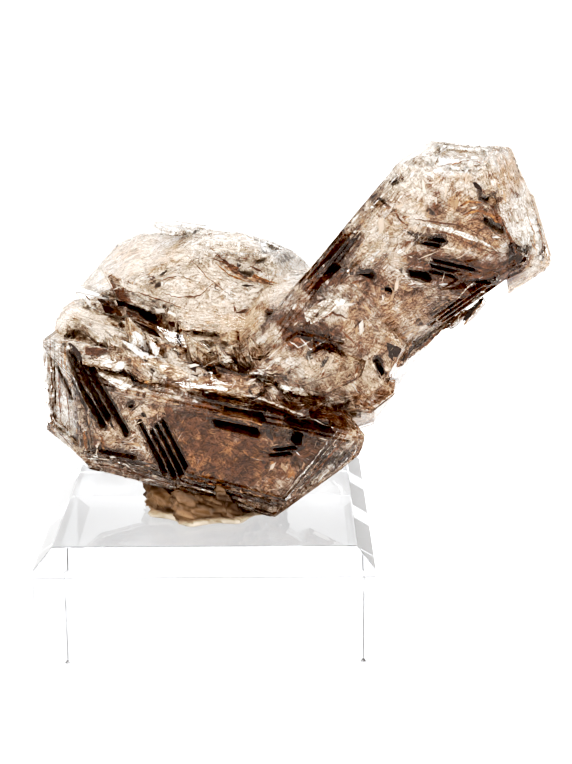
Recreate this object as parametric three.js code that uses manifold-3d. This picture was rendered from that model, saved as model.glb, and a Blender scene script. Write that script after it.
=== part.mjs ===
// A window quartz specimen on a bevelled acrylic display block, held by a lump of mineral tack.
// Units are millimetres, +Z up, the origin at the centre of the block's underside, -Y towards the viewer.
import * as THREE from "three";
import { mergeVertices } from "three/addons/utils/BufferGeometryUtils.js";
import Module from "manifold-3d";

const wasm = await Module();
wasm.setup();
const { Manifold } = wasm;

// ---------- driving dimensions ----------
const BLOCK = { side: 50, height: 17.4, bevel: 2.7 };
const GAP = 0.3; // clearance between pieces that touch on the real specimen
const BOUND = 240; // side of the box that every crystal is cut from
// The lump of tack: a ball whose middle stands `lift` above the block, swollen by small and broad lobes.
const TACK = {
  centre: [0.5, -5],
  radius: [10.7, 9.6],
  rise: 11,
  lift: 2.2,
  around: 28,
  rings: 12,
  lobes: { count: 9, depth: 0.09, twist: 4 },
  broadLobes: { count: 3, depth: 0.05, start: 1 },
};
// The upright prisms of a slot: the leaf of crystal between two of them, how far they stand out of the face,
// how much each slides along the slot for its place across it, and how much its length and place wander.
const SLOT = { leaf: 0.22, above: 1.2, shear: 0.6, wander: 0.12 };
// How much a splinter may differ from its row: in mm, in degrees, in degrees, as a share, in degrees.
const SCATTER = { place: 0.4, bearing: 12, rise: 18, size: 0.35, roll: 14 };
const WELD = 1e-4; // corners closer than this are one corner
const COLOUR = { quartz: 0xb59a80, acrylic: 0xeef3f5, tack: 0x9b7c58 };

// Each crystal has a c axis (bearing from +X towards +Y, rise above the table) through its centre.
// A face is [angle around the c axis, lean towards the axis's + end, distance from the centre];
// angle 0 looks at the viewer and 90 is a quarter turn on, towards the underside of a level crystal.
//
// terraces: staircases that replace the edge between two faces: [face, face, step, number of steps].
// windows: stepped hollows that follow a face's outline: [face, inset, depth, number of steps].
// slots: cuts let into a face at the point `at`, turned from the c axis by `turn` degrees,
//   split by thin upright leaves of crystal into `parts`.
const LOWER = {
  centre: [-1, -1, 33],
  axis: { bearing: 0, rise: -16 },
  faces: {
    front: [0, 0, 13],
    frontLow: [35, 0, 16.2],
    under: [90, 0, 11.5],
    backLow: [150, 0, 11],
    back: [180, 0, 13],
    backTop: [-130, 0, 12],
    top: [-72, -2, 7.6],
    leftFront: [16, -44, 21.9],
    leftBack: [151, -60, 18.4],
    leftLow: [60, -30, 20.4],
    leftTop: [-89, -31, 20.2],
    leftCorner: [-38, -24, 19.6],
    rightFront: [16, 32, 21.8],
    rightLow: [110, 45, 15.1],
    rightTop: [-178, 57, 14.3],
    rightBack: [180, 30, 17],
  },
  terraces: [
    ["front", "frontLow", 0.28, 2],
    ["frontLow", "under", 0.35, 2],
    ["front", "rightFront", 0.45, 3],
    ["rightFront", "rightLow", 0.6, 3],
    ["front", "leftFront", 0.5, 2],
    ["leftFront", "leftBack", 0.4, 1],
    ["front", "top", 0.5, 3],
    ["back", "backLow", 0.7, 3],
    ["back", "backTop", 0.7, 3],
    ["top", "leftTop", 0.6, 1],
  ],
  windows: [
    ["front", 0.8, 0.45, 2],
    ["leftFront", 0.8, 0.45, 2],
    ["rightFront", 0.7, 0.4, 2],
    ["back", 1.8, 0.9, 2],
    ["leftBack", 1.0, 0.5, 2],
    ["under", 1.4, 0.6, 2],
  ],
  slots: [
    { face: "front", at: [-16.7, -14, 38.9], turn: -48, length: 14.6, width: 3.5, depth: 5, parts: 3 },
    { face: "front", at: [-6.1, -14, 29.4], turn: -50, length: 9.8, width: 4, depth: 5.5, parts: 4 },
    { face: "front", at: [5.4, -14, 34.9], turn: 3, length: 7.6, width: 1.4, depth: 4.5, parts: 1 },
    { face: "front", at: [5.6, -14, 32.4], turn: 0, length: 8.6, width: 1.6, depth: 5, parts: 1 },
    { face: "front", at: [15.6, -14, 33.0], turn: 4, length: 8, width: 1.5, depth: 3.5, parts: 1 },
    { face: "front", at: [13.9, -14, 30.9], turn: -35, length: 2.8, width: 2.2, depth: 4, parts: 1 },
    { face: "front", at: [11.4, -14, 28.9], turn: 20, length: 3.8, width: 1.5, depth: 3.5, parts: 2 },
    { face: "front", at: [-21.2, -14, 39.5], turn: -46, length: 6, width: 0.6, depth: 8, parts: 1 },
    { face: "front", at: [-11.0, -14, 36.3], turn: -75, length: 1.5, width: 0.8, depth: 2, parts: 1 },
    { face: "front", at: [-12.8, -14, 28.6], turn: 4, length: 7, width: 0.6, depth: 1.5, parts: 1 },
    { face: "back", at: [-8, 12, 38], turn: 35, length: 12, width: 3, depth: 4, parts: 3 },
    { face: "back", at: [6, 12, 29], turn: 35, length: 8, width: 2.4, depth: 3.5, parts: 2 },
    { face: "leftBack", at: [-22, 2, 36], turn: 60, length: 8, width: 2, depth: 3, parts: 2 },
    { face: "rightLow", at: [18, 2, 24], turn: 80, length: 7, width: 2, depth: 3, parts: 2 },
  ],
};
const ARM = {
  centre: [31, 0, 54],
  axis: { bearing: -4, rise: 42 },
  faces: {
    front: [0, 0, 9],
    frontUpper: [-62, -9.5, 14.3],
    frontLower: [40, -7, 9.9],
    lower: [104, -1.5, 8.7],
    back: [180, 0, 13],
    backUpper: [-128, -5.5, 7.3],
    topFront: [-61, 43.5, 20.6],
    topBack: [-139, 33.5, 14.2],
    topLeft: [-90, 14.5, 16.4],
    topRight: [24, 62, 20.6],
    rightFront: [26, 46.5, 18.1],
    rightBack: [141, 54.5, 17.1],
    footLeft: [-50, -34, 26.5],
    footLow: [47, -23, 21],
    footEnd: [0, -90, 36],
  },
  terraces: [
    ["frontUpper", "backUpper", 0.45, 3],
    ["front", "frontUpper", 0.35, 3],
    ["front", "frontLower", 0.4, 3],
    ["frontLower", "lower", 0.5, 3],
    ["topFront", "frontUpper", 0.4, 2],
    ["topFront", "topBack", 0.5, 2],
    ["rightFront", "front", 0.35, 3],
    ["back", "lower", 0.7, 2],
    ["back", "backUpper", 0.7, 2],
  ],
  windows: [
    ["topFront", 0.8, 0.5, 2],
    ["back", 1.8, 0.9, 2],
    ["lower", 1.4, 0.6, 2],
    ["backUpper", 1.4, 0.6, 2],
    ["topBack", 1.2, 0.5, 2],
    ["rightBack", 1.2, 0.5, 2],
  ],
  slots: [
    { face: "front", at: [38.8, -9, 55.1], turn: -56, length: 10.8, width: 2.4, depth: 4.5, parts: 3 },
    { face: "front", at: [24.0, -9, 55.2], turn: -57, length: 3, width: 1.4, depth: 3, parts: 1 },
    { face: "front", at: [32.2, -9, 54.8], turn: -57, length: 4, width: 1.5, depth: 3, parts: 1 },
    { face: "front", at: [33.2, -9, 60.0], turn: -52, length: 4.6, width: 1.6, depth: 3, parts: 2 },
    { face: "front", at: [46.4, -9, 56.4], turn: 28, length: 6.4, width: 2, depth: 3.4, parts: 1 },
    { face: "front", at: [28.6, -9, 43.8], turn: -70, length: 3.2, width: 1, depth: 3, parts: 1 },
    { face: "front", at: [27.4, -9, 42.4], turn: -20, length: 2.4, width: 1.1, depth: 3, parts: 1 },
    { face: "front", at: [41.4, -9, 66.4], turn: -70, length: 3.4, width: 1, depth: 2.5, parts: 1 },
    { face: "front", at: [42.9, -9, 62.2], turn: -75, length: 4.2, width: 1.1, depth: 2.5, parts: 1 },
    { face: "front", at: [28.0, -9, 68.6], turn: -20, length: 1.8, width: 0.9, depth: 2, parts: 1 },
    { face: "front", at: [26.0, -9, 65.6], turn: -10, length: 2, width: 0.9, depth: 2, parts: 1 },
    { face: "front", at: [27.4, -9, 52.6], turn: -60, length: 1.4, width: 0.7, depth: 2, parts: 1 },
    { face: "frontUpper", at: [18.6, -6, 57.6], turn: 0, length: 11, width: 3.2, depth: 2.2, parts: 3 },
    { face: "frontUpper", at: [17.6, -8, 54.0], turn: 0, length: 6, width: 1.2, depth: 2.5, parts: 1 },
    { face: "frontLower", at: [38.6, -7, 50.6], turn: 0, length: 11, width: 2.8, depth: 2.2, parts: 3 },
    { face: "back", at: [36, 13, 60], turn: 35, length: 9, width: 2.6, depth: 3.5, parts: 3 },
    { face: "back", at: [22, 13, 48], turn: -40, length: 7, width: 2, depth: 3, parts: 2 },
    { face: "lower", at: [36, 4, 45], turn: 20, length: 8, width: 2.2, depth: 3, parts: 2 },
  ],
};
// The clear plate that overgrows the arm's far end.
const PLATE = {
  centre: [46, -1, 60],
  axis: { bearing: -4, rise: 42 },
  faces: {
    front: [11, 11, 6.1],
    rightFront: [31, 50.5, 5.1],
    rightBack: [146, 50.5, 3.3],
    lowFront: [49, -4.5, 7.3],
    lowBack: [109.5, -9.5, 6.7],
    upper: [45, 55, 6.4],
    end: [-30, 80, 6.6],
    back: [180, 0, 6],
    inner: [-97, -57, 1.3],
    near: [-90, 0, 10],
  },
  terraces: [
    ["lowFront", "rightFront", 0.4, 3],
    ["front", "rightFront", 0.35, 2],
    ["front", "lowFront", 0.3, 2],
  ],
  windows: [["rightFront", 0.7, 0.3, 2]],
  slots: [],
};
const REAR = {
  centre: [-3, 12, 51],
  axis: { bearing: 0, rise: -14 },
  faces: {
    front: [-33, -8, 5.8],
    frontLow: [75, -8, 8.8],
    under: [120, 0, 12],
    back: [180, 0, 9.5],
    backTop: [-130, 0, 7],
    top: [-75, -11.5, 5.9],
    topLeft: [-72, -30.5, 5],
    leftTop: [-72, -42.5, 6.6],
    left: [-22, -66.5, 14.7],
    leftLow: [37, -51.5, 16.4],
    leftBack: [150, -45, 15],
    rightTop: [-80, 14, 9.8],
    right: [-60, 48, 14.5],
    rightEnd: [0, 90, 22],
  },
  terraces: [
    ["front", "frontLow", 0.6, 3],
    ["front", "top", 0.4, 2],
    ["front", "left", 0.5, 3],
    ["front", "leftTop", 0.4, 2],
    ["top", "rightTop", 0.4, 2],
    ["back", "backTop", 0.6, 2],
  ],
  windows: [
    ["front", 1.4, 0.2, 1],
    ["back", 1.8, 0.9, 2],
    ["backTop", 1.2, 0.5, 2],
    ["rightTop", 0.8, 0.4, 2],
  ],
  slots: [
    { face: "front", at: [5.6, 8, 51.0], turn: -8, length: 2.6, width: 0.8, depth: 2, parts: 1 },
    { face: "front", at: [8.4, 8, 53.4], turn: 12, length: 2, width: 0.7, depth: 2, parts: 1 },
    { face: "back", at: [-6, 21, 50], turn: 40, length: 8, width: 2.2, depth: 3, parts: 2 },
  ],
};
// The broken base between the arm and the lower crystal.
const FOOT = {
  centre: [22, 0, 40],
  axis: { bearing: -4, rise: 42 },
  faces: {
    front: [0, 0, 8.6],
    frontLow: [47, -23, 9.2],
    lower: [68, 20, 8],
    back: [180, 0, 11],
    backLow: [125, -8, 9.5],
    upper: [-90, 0, 10],
    near: [0, -90, 15],
    far: [0, 90, 9],
  },
  terraces: [["frontLow", "front", 0.5, 2]],
  windows: [["backLow", 1.2, 0.6, 2]],
  slots: [
    { face: "front", at: [16, -9, 45], turn: -59, length: 9, width: 2.6, depth: 3, parts: 3 },
    { face: "front", at: [26, -9, 40.8], turn: 70, length: 3.6, width: 0.9, depth: 3, parts: 1 },
  ],
};

// The block where the arm turns down into the specimen, and the shelf below the rear crystal's front.
const KNEE = {
  centre: [12, 1, 45],
  axis: { bearing: -4, rise: 42 },
  faces: {
    top: [-77, 38, 4.7],
    left: [-51, -31, 8.6],
    slope: [-79, -2, 5.1],
    front: [-4, -3, 6.8],
    back: [180, 0, 9],
    under: [90, 0, 8],
    far: [0, 90, 10],
    near: [60, -60, 9],
  },
  terraces: [
    ["slope", "front", 0.5, 3],
    ["top", "front", 0.5, 3],
    ["left", "front", 0.4, 2],
  ],
  windows: [["front", 1, 0.5, 2]],
  slots: [{ face: "front", at: [7.2, -5, 48.2], turn: -44, length: 6, width: 1, depth: 2.5, parts: 2 }],
};
const SHELF = {
  centre: [0, 3, 43],
  axis: { bearing: 0, rise: -14 },
  faces: {
    top: [-74, -12, 3.7],
    left: [6, -57, 6.3],
    front: [5, 1, 7],
    under: [90, 0, 6],
    back: [180, 0, 6],
    far: [0, 90, 6],
    near: [180, -40, 7],
  },
  terraces: [["top", "front", 0.4, 3]],
  windows: [["front", 0.7, 0.4, 2]],
  slots: [{ face: "front", at: [-0.6, -4, 44.4], turn: 6, length: 7, width: 1, depth: 2.5, parts: 1 }],
};
// The crystal between the lower crystal's left shoulder and the rear crystal.
const SHOULDER = {
  centre: [-12, 2, 43],
  axis: { bearing: 0, rise: -22 },
  faces: {
    frontTop: [-85, 2, 1.6],
    front: [14, 1, 7.1],
    left: [8, -66, 12.4],
    leftBack: [142, -56, 8.1],
    leftTop: [-82, -31, 7.0],
    rightTop: [-83, 28, 5.8],
    rightEnd: [60, 60, 8],
    back: [180, 0, 8],
    under: [90, 0, 8],
  },
  terraces: [
    ["frontTop", "front", 0.5, 3],
    ["leftTop", "left", 0.5, 2],
  ],
  windows: [["front", 1, 0.5, 2]],
  slots: [
    { face: "front", at: [-14.6, -4, 46.2], turn: -26, length: 8.6, width: 2.6, depth: 5, parts: 3 },
    { face: "front", at: [-9.4, -4, 44.4], turn: -6, length: 6.4, width: 1.2, depth: 4, parts: 1 },
  ],
};

// The lie of a splinter row's c axis.
const AXIS = {
  level: { bearing: 0, rise: -16 },
  steep: { bearing: -4, rise: 42 },
  fanned: { bearing: 12, rise: -18 },
  drooping: { bearing: 24, rise: -36 },
  rising: { bearing: 5, rise: 22 },
  slanted: { bearing: -4, rise: 34 },
  flat: { bearing: 0, rise: 5 },
  falling: { bearing: -30, rise: -40 },
  upright: { bearing: 0, rise: 72 },
  askew: { bearing: -20, rise: 20 },
  lying: { bearing: 0, rise: -4 },
};
// Rows of flat splinters, `count` of them from one point to another, each with a c axis near `axis`.
// size is [length, width, thickness]; roll 0 turns the flat side to the viewer and -90 turns it up.
const SPLINTER_ROWS = [
  { from: [-15, -10.6, 42.8], to: [15, -9.6, 35], count: 9, axis: AXIS.level, roll: -62, size: [7, 3.4, 1] },
  { from: [-13, -5, 44], to: [8, -5, 41], count: 5, axis: AXIS.fanned, roll: -75, size: [8, 4, 1.2] },
  { from: [-9, -7.5, 43], to: [9, -7, 40.2], count: 7, axis: AXIS.drooping, roll: -40, size: [5, 2.4, 1] },
  { from: [-2, -5, 42], to: [9, -6.4, 42.4], count: 5, axis: AXIS.rising, roll: -20, size: [5, 2, 1] },
  { from: [13, -8.6, 43], to: [26, -8.2, 36], count: 5, axis: AXIS.steep, roll: -12, size: [7, 3.4, 1.2] },
  { from: [26, -8.7, 58], to: [39, -8.6, 66], count: 3, axis: AXIS.slanted, roll: 4, size: [8, 2.6, 0.9] },
  { from: [36, -8.6, 52], to: [44, -8.4, 57], count: 3, axis: AXIS.flat, roll: 4, size: [6, 1.8, 1] },
  { from: [22.4, -5, 33.0], to: [28, -4, 41.4], count: 9, axis: AXIS.falling, roll: 20, size: [3, 1.6, 1] },
  { from: [31, -3.6, 42], to: [41, -3.5, 48.6], count: 9, axis: AXIS.steep, roll: 70, size: [4, 1.6, 1] },
  { from: [30, -5.6, 42], to: [31.6, -5.4, 41.4], count: 2, axis: AXIS.upright, roll: 0, size: [4.4, 1, 1] },
  { from: [-17, 2, 48.4], to: [-9, 0.4, 45], count: 5, axis: AXIS.level, roll: -10, size: [4, 1.4, 0.7] },
  { from: [18.8, -9, 32.8], to: [20.8, -3, 31.6], count: 4, axis: AXIS.askew, roll: 40, size: [3, 1.6, 1] },
  { from: [-9.6, 4, 48.4], to: [-3, 4.2, 47.2], count: 2, axis: AXIS.level, roll: -30, size: [8, 2.6, 1.2] },
  { from: [-6, 13, 57.6], to: [-2, 13, 57.6], count: 2, axis: AXIS.lying, roll: -75, size: [5, 4, 1] },
  { from: [-17, 11, 43], to: [8, 11, 38], count: 6, axis: AXIS.level, roll: 60, size: [7, 3, 1.4] },
  { from: [14, 10.6, 36], to: [26, 11.4, 46], count: 5, axis: AXIS.steep, roll: 180, size: [7, 3, 1.4] },
  { from: [26, 12.4, 50], to: [36, 11.6, 58], count: 3, axis: AXIS.steep, roll: 180, size: [7, 3, 1.2] },
];

const rad = THREE.MathUtils.degToRad;
const { lerp } = THREE.MathUtils;

// ---------- solids ----------

// A closed three.js geometry as a manifold-3d solid.
function solidOf(geometry) {
  const bare = geometry.index ? geometry.toNonIndexed() : geometry.clone();
  bare.deleteAttribute("normal");
  bare.deleteAttribute("uv");
  const merged = mergeVertices(bare, WELD);
  const vertProperties = merged.attributes.position.array;
  const triVerts = new Uint32Array(merged.index.array);
  return new Manifold(new wasm.Mesh({ numProp: 3, vertProperties, triVerts }));
}

const bound = solidOf(new THREE.BoxGeometry(BOUND, BOUND, BOUND));

// What a solid keeps on either side of the plane normal . x = offset.
const inside = (solid, { normal: n, offset }) => solid.trimByPlane([-n.x, -n.y, -n.z], -offset);
const outside = (solid, { normal: n, offset }) => solid.trimByPlane([n.x, n.y, n.z], offset);
const vector = (point) => new THREE.Vector3(...point);

// The unit axes of a crystal: c along its length, u square to c and nearest the viewer, v square to both.
function axesOf({ bearing, rise }) {
  const [b, r] = [rad(bearing), rad(rise)];
  const c = new THREE.Vector3(Math.cos(r) * Math.cos(b), Math.cos(r) * Math.sin(b), Math.sin(r));
  const u = new THREE.Vector3(0, -1, 0).addScaledVector(c, c.y).normalize();
  return { c, u, v: new THREE.Vector3().crossVectors(c, u) };
}

// The plane of a crystal's named face, moved outwards by shift.
function planeOf(crystal, name, shift = 0) {
  const [around, lean, distance] = crystal.faces[name];
  const { c, u, v } = axesOf(crystal.axis);
  const [a, l] = [rad(around), rad(lean)];
  const normal = new THREE.Vector3()
    .addScaledVector(u, Math.cos(l) * Math.cos(a))
    .addScaledVector(v, Math.cos(l) * Math.sin(a))
    .addScaledVector(c, Math.sin(l));
  return { normal, offset: distance + shift + normal.dot(vector(crystal.centre)) };
}

// The convex space inside all of a crystal's faces, each moved outwards by shift, leaving out one face.
function bodyOf(crystal, shift = 0, leftOut = null) {
  return Object.keys(crystal.faces)
    .filter((name) => name !== leftOut)
    .reduce((solid, name) => inside(solid, planeOf(crystal, name, shift)), bound);
}

// The space that a staircase takes away along the edge between two faces.
function terraceCuts(crystal, [faceA, faceB, step, count]) {
  const rungs = Array.from({ length: count }, (_, i) => i + 1);
  return rungs.map((i) => {
    const riser = planeOf(crystal, faceA, -step * i);
    const tread = planeOf(crystal, faceB, -step * (count + 1 - i));
    return outside(outside(bound, riser), tread);
  });
}

// The stepped hollow that a window sinks into a face.
function windowCuts(crystal, [face, inset, depth, count]) {
  const steps = Array.from({ length: count }, (_, i) => i + 1);
  return steps.map((i) => outside(bodyOf(crystal, -inset * i, face), planeOf(crystal, face, -depth * i)));
}

// Where a point lies on a face, as a matrix: x turned from the c axis, z out of the face.
function placeOnFace(crystal, { face, at, turn }) {
  const { normal, offset } = planeOf(crystal, face);
  const origin = vector(at).addScaledVector(normal, offset - normal.dot(vector(at)));
  const { c } = axesOf(crystal.axis);
  const along = c.clone().addScaledVector(normal, -normal.dot(c)).normalize();
  along.applyAxisAngle(normal, rad(turn));
  const across = new THREE.Vector3().crossVectors(normal, along);
  return new THREE.Matrix4().makeBasis(along, across, normal).setPosition(origin);
}

// The prisms that a slot takes out: one for each part, slanted at the ends, with a thin leaf between them.
function slotCuts(crystal, slot) {
  const { length, width, depth, parts } = slot;
  const pitch = (width + SLOT.leaf) / parts;
  const half = (pitch - SLOT.leaf) / 2;
  return Array.from({ length: parts }, (_, i) => {
    const middle = (i - (parts - 1) / 2) * pitch;
    const slide = SLOT.shear * middle + SLOT.wander * length * wobble(i, length);
    const reach = (length / 2) * (1 - SLOT.wander * Math.abs(wobble(length, i)));
    const shape = new THREE.Shape([
      new THREE.Vector2(-reach + slide, middle + half * 0.4),
      new THREE.Vector2(-reach + slide + half, middle - half),
      new THREE.Vector2(reach + slide - half * 0.4, middle - half),
      new THREE.Vector2(reach + slide, middle - half * 0.3),
      new THREE.Vector2(reach + slide - half * 1.2, middle + half),
    ]);
    const prism = new THREE.ExtrudeGeometry(shape, { depth: depth + SLOT.above, bevelEnabled: false });
    prism.translate(0, 0, -depth).applyMatrix4(placeOnFace(crystal, slot));
    return solidOf(prism);
  });
}

// A steady value from -1 to 1 for each pair of numbers.
function wobble(i, j) {
  const s = Math.sin(i * 12.9898 + j * 78.233) * 43758.5453;
  return 2 * (s - Math.floor(s)) - 1;
}

// A crystal with its staircases, windows and slots.
function grown(crystal) {
  const cuts = [
    ...crystal.terraces.flatMap((terrace) => terraceCuts(crystal, terrace)),
    ...crystal.windows.flatMap((window) => windowCuts(crystal, window)),
    ...crystal.slots.flatMap((slot) => slotCuts(crystal, slot)),
  ];
  return bodyOf(crystal).subtract(Manifold.union(cuts));
}

// One splinter: a flat blade with slanted ends, rolled about its c axis.
function splinter(centre, axis, roll, [length, width, thickness]) {
  const blade = {
    flat: [0, 0, 0.5 * thickness],
    edgeUp: [-80, 6, 0.5 * width],
    edgeDown: [98, -4, 0.5 * width],
    back: [180, 0, 0.5 * thickness],
    tip: [-60, 52, 0.4 * length],
    tipDown: [74, 40, 0.42 * length],
    tail: [110, -48, 0.4 * length],
  };
  const rolled = Object.entries(blade).map(([name, [around, ...rest]]) => [name, [around + roll, ...rest]]);
  return bodyOf({ centre, axis, faces: Object.fromEntries(rolled) });
}

// The splinters of one row, each a little off the row's line, axis and size.
function splinterRow({ from, to, count, axis, roll, size }, row) {
  return Array.from({ length: count }, (_, i) => {
    const t = count > 1 ? i / (count - 1) : 0;
    const centre = from.map((start, k) => lerp(start, to[k], t) + SCATTER.place * wobble(i + 3 * k, row + k));
    const bearing = axis.bearing + SCATTER.bearing * wobble(i, row + 7);
    const rise = axis.rise + SCATTER.rise * wobble(i, row + 11);
    const scale = 1 + SCATTER.size * wobble(i, row + 17);
    const rolled = roll + SCATTER.roll * wobble(i, row + 23);
    return splinter(centre, { bearing, rise }, rolled, size.map((s) => s * scale));
  });
}

// The largest of a solid's separate bodies.
function mainBody(solid) {
  return solid.decompose().reduce((a, b) => (a.volume() > b.volume() ? a : b));
}

// ---------- pieces ----------

// The whole specimen: the crystals grown together, with the splinters on their seams.
function quartzCrystal() {
  const crystals = [LOWER, ARM, PLATE, REAR, FOOT, KNEE, SHELF, SHOULDER].map(grown);
  const splinters = SPLINTER_ROWS.flatMap(splinterRow);
  return mainBody(Manifold.union([...crystals, ...splinters]));
}

// The display block, its four top edges bevelled at 45 degrees.
function acrylicBlock() {
  const { side, height, bevel } = BLOCK;
  const box = solidOf(new THREE.BoxGeometry(side, side, height).translate(0, 0, height / 2));
  const upward = new THREE.Vector3(0, 0, 1);
  const bevels = [0, 90, 180, 270].map((turn) => {
    const normal = new THREE.Vector3(1, 0, 1).normalize().applyAxisAngle(upward, rad(turn));
    return { normal, offset: (side / 2 + height - bevel) / Math.SQRT2 };
  });
  return bevels.reduce(inside, box);
}

// The lump of tack under the lower crystal: a lobed ball, cut flat by the block and pressed to the crystal.
function mineralTack() {
  const { centre, radius, rise, lift, around, rings, lobes, broadLobes } = TACK;
  const ball = new THREE.SphereGeometry(1, around, rings).rotateX(Math.PI / 2);
  const p = ball.attributes.position;
  for (let i = 0; i < p.count; i++) {
    const angle = Math.atan2(p.getY(i), p.getX(i));
    const small = lobes.depth * Math.sin(lobes.count * angle + lobes.twist * p.getZ(i));
    const broad = broadLobes.depth * Math.sin(broadLobes.count * angle + broadLobes.start);
    const swell = 1 + small + broad;
    p.setXYZ(i, p.getX(i) * radius[0] * swell, p.getY(i) * radius[1] * swell, p.getZ(i) * rise);
  }
  ball.translate(centre[0], centre[1], BLOCK.height + lift);
  const lump = outside(solidOf(ball), { normal: new THREE.Vector3(0, 0, 1), offset: BLOCK.height + GAP });
  return mainBody(lump.subtract(bodyOf(LOWER, GAP)));
}

// ---------- scene graph ----------

const finish = (color, roughness) => new THREE.MeshStandardMaterial({ color, roughness });

function meshOf(solid, name, material) {
  const { numProp, numVert, vertProperties, triVerts } = solid.getMesh();
  const position = new Float32Array(numVert * 3);
  for (let i = 0; i < numVert; i++) {
    position.set(vertProperties.subarray(i * numProp, i * numProp + 3), i * 3);
  }
  const geometry = new THREE.BufferGeometry();
  geometry.setAttribute("position", new THREE.BufferAttribute(position, 3));
  geometry.setIndex(new THREE.BufferAttribute(triVerts, 1));
  geometry.computeVertexNormals();
  const mesh = new THREE.Mesh(geometry, material);
  mesh.name = name;
  return mesh;
}

const specimen = new THREE.Group();
specimen.add(
  meshOf(quartzCrystal(), "quartz_crystal", finish(COLOUR.quartz, 0.15)),
  meshOf(acrylicBlock(), "acrylic_block", finish(COLOUR.acrylic, 0.05)),
  meshOf(mineralTack(), "mineral_tack", finish(COLOUR.tack, 0.8)),
);
export default specimen;
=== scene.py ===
"""Dresses the window quartz specimen: clear skin, inclusions, painted shade in the slots, tack and display block."""

from __future__ import annotations

import logging
import math
from dataclasses import dataclass
from enum import Enum

import bmesh
import bpy
import numpy as np
from bmesh.types import BMesh, BMFace, BMVert
from bpy.types import Material, Mesh, Node, NodeSocket, NodeTree, Object
from mathutils import Matrix, Vector
from mathutils.bvhtree import BVHTree
from mathutils.kdtree import KDTree

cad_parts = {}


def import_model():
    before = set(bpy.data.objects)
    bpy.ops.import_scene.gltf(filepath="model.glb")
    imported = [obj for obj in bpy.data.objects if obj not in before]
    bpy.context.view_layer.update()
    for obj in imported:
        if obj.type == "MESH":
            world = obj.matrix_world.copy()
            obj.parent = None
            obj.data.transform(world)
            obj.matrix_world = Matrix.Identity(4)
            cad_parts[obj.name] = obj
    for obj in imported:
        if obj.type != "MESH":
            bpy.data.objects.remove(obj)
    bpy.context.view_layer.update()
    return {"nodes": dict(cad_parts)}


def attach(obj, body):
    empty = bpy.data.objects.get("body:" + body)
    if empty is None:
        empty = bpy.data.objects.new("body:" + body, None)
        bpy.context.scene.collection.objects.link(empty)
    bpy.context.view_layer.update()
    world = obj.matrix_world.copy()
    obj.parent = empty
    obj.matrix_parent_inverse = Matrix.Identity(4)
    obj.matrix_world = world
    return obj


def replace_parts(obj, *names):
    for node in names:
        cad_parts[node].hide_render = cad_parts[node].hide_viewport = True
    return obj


log = logging.getLogger("specimen")

MM = 0.001
BODY = "root"
SHADE_SEED = 7
ONE_PLACE = 1e-6  # how close two vertices of a loose mesh lie that are one, in metres
Point = tuple[float, float, float]
Corner = tuple[float, float]
Ramp = tuple[float, float]
Setting = float | tuple[float, ...] | NodeSocket


# -------- materials --------


def feed(node: Node, inputs: dict[str | int, Setting]) -> None:
    """Sets a node's inputs, or links the sockets that feed them.

    Args:
        node: the node.
        inputs: the value or the socket for each input.
    """
    for name, value in inputs.items():
        if isinstance(value, NodeSocket):
            node.id_data.links.new(value, node.inputs[name])
        else:
            node.inputs[name].default_value = value


def wired(tree: NodeTree, kind: str, output: str, inputs: dict[str | int, Setting], **options: str) -> NodeSocket:
    """Adds a node.

    Args:
        tree: the nodes that it joins.
        kind: its type, without ShaderNode.
        output: the name of the output that is wanted.
        inputs: the value or the socket for each input.
        options: its own settings.

    Returns:
        The output.
    """
    node = tree.nodes.new(f"ShaderNode{kind}")
    for name, value in options.items():
        setattr(node, name, value)
    feed(node, inputs)
    return node.outputs[output]


def ramped(tree: NodeTree, level: NodeSocket, stops: tuple[tuple[float, Point], ...]) -> NodeSocket:
    """Adds a colour ramp.

    Args:
        tree: the nodes that it joins.
        level: the level that it turns into colour.
        stops: levels from low to high, each with its colour.

    Returns:
        The colour.
    """
    colour = wired(tree, "ValToRGB", "Color", {"Fac": level})
    elements = colour.node.color_ramp.elements
    for at, _ in stops[1:-1]:
        elements.new(at)
    for element, (at, light) in zip(elements, stops):
        element.position = at
        element.color = (*light, 1.0)
    return colour


def new_material(name: str, inputs: dict[str, Setting]) -> tuple[Material, Node]:
    """Makes a node material.

    Args:
        name: the material's name.
        inputs: the values of its shader's inputs.

    Returns:
        The material and its Principled shader.
    """
    mat = bpy.data.materials.new(name)
    mat.use_nodes = True
    shader = mat.node_tree.nodes["Principled BSDF"]
    feed(shader, inputs)
    return mat, shader


class Tone(Enum):
    """The colours of the matter inside the quartz."""

    FROST = "frost"
    CREAM = "cream"
    SAND = "sand"
    TAN = "tan"
    AMBER = "amber"
    BROWN = "brown"
    DARK = "dark"
    PARTING = "parting"

    @property
    def number(self) -> int:
        """Its place among the tones."""
        return list(Tone).index(self)


@dataclass(frozen=True)
class Inclusion:
    """The finish of one tone of inclusion.

    Args:
        colour: linear base colour.
        roughness: how dull it is.
        metallic: 1 for the mirror-bright partings, 0 otherwise.
    """

    colour: Point
    roughness: float = 0.5
    metallic: float = 0.0

    def material(self, name: str) -> Material:
        """Makes a plain material of this finish.

        Args:
            name: its name.

        Returns:
            The material.
        """
        return new_material(name, {
            "Base Color": (*self.colour, 1.0), "Roughness": self.roughness,
            "Metallic": self.metallic, "Specular IOR Level": 0.0,
        })[0]


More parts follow.
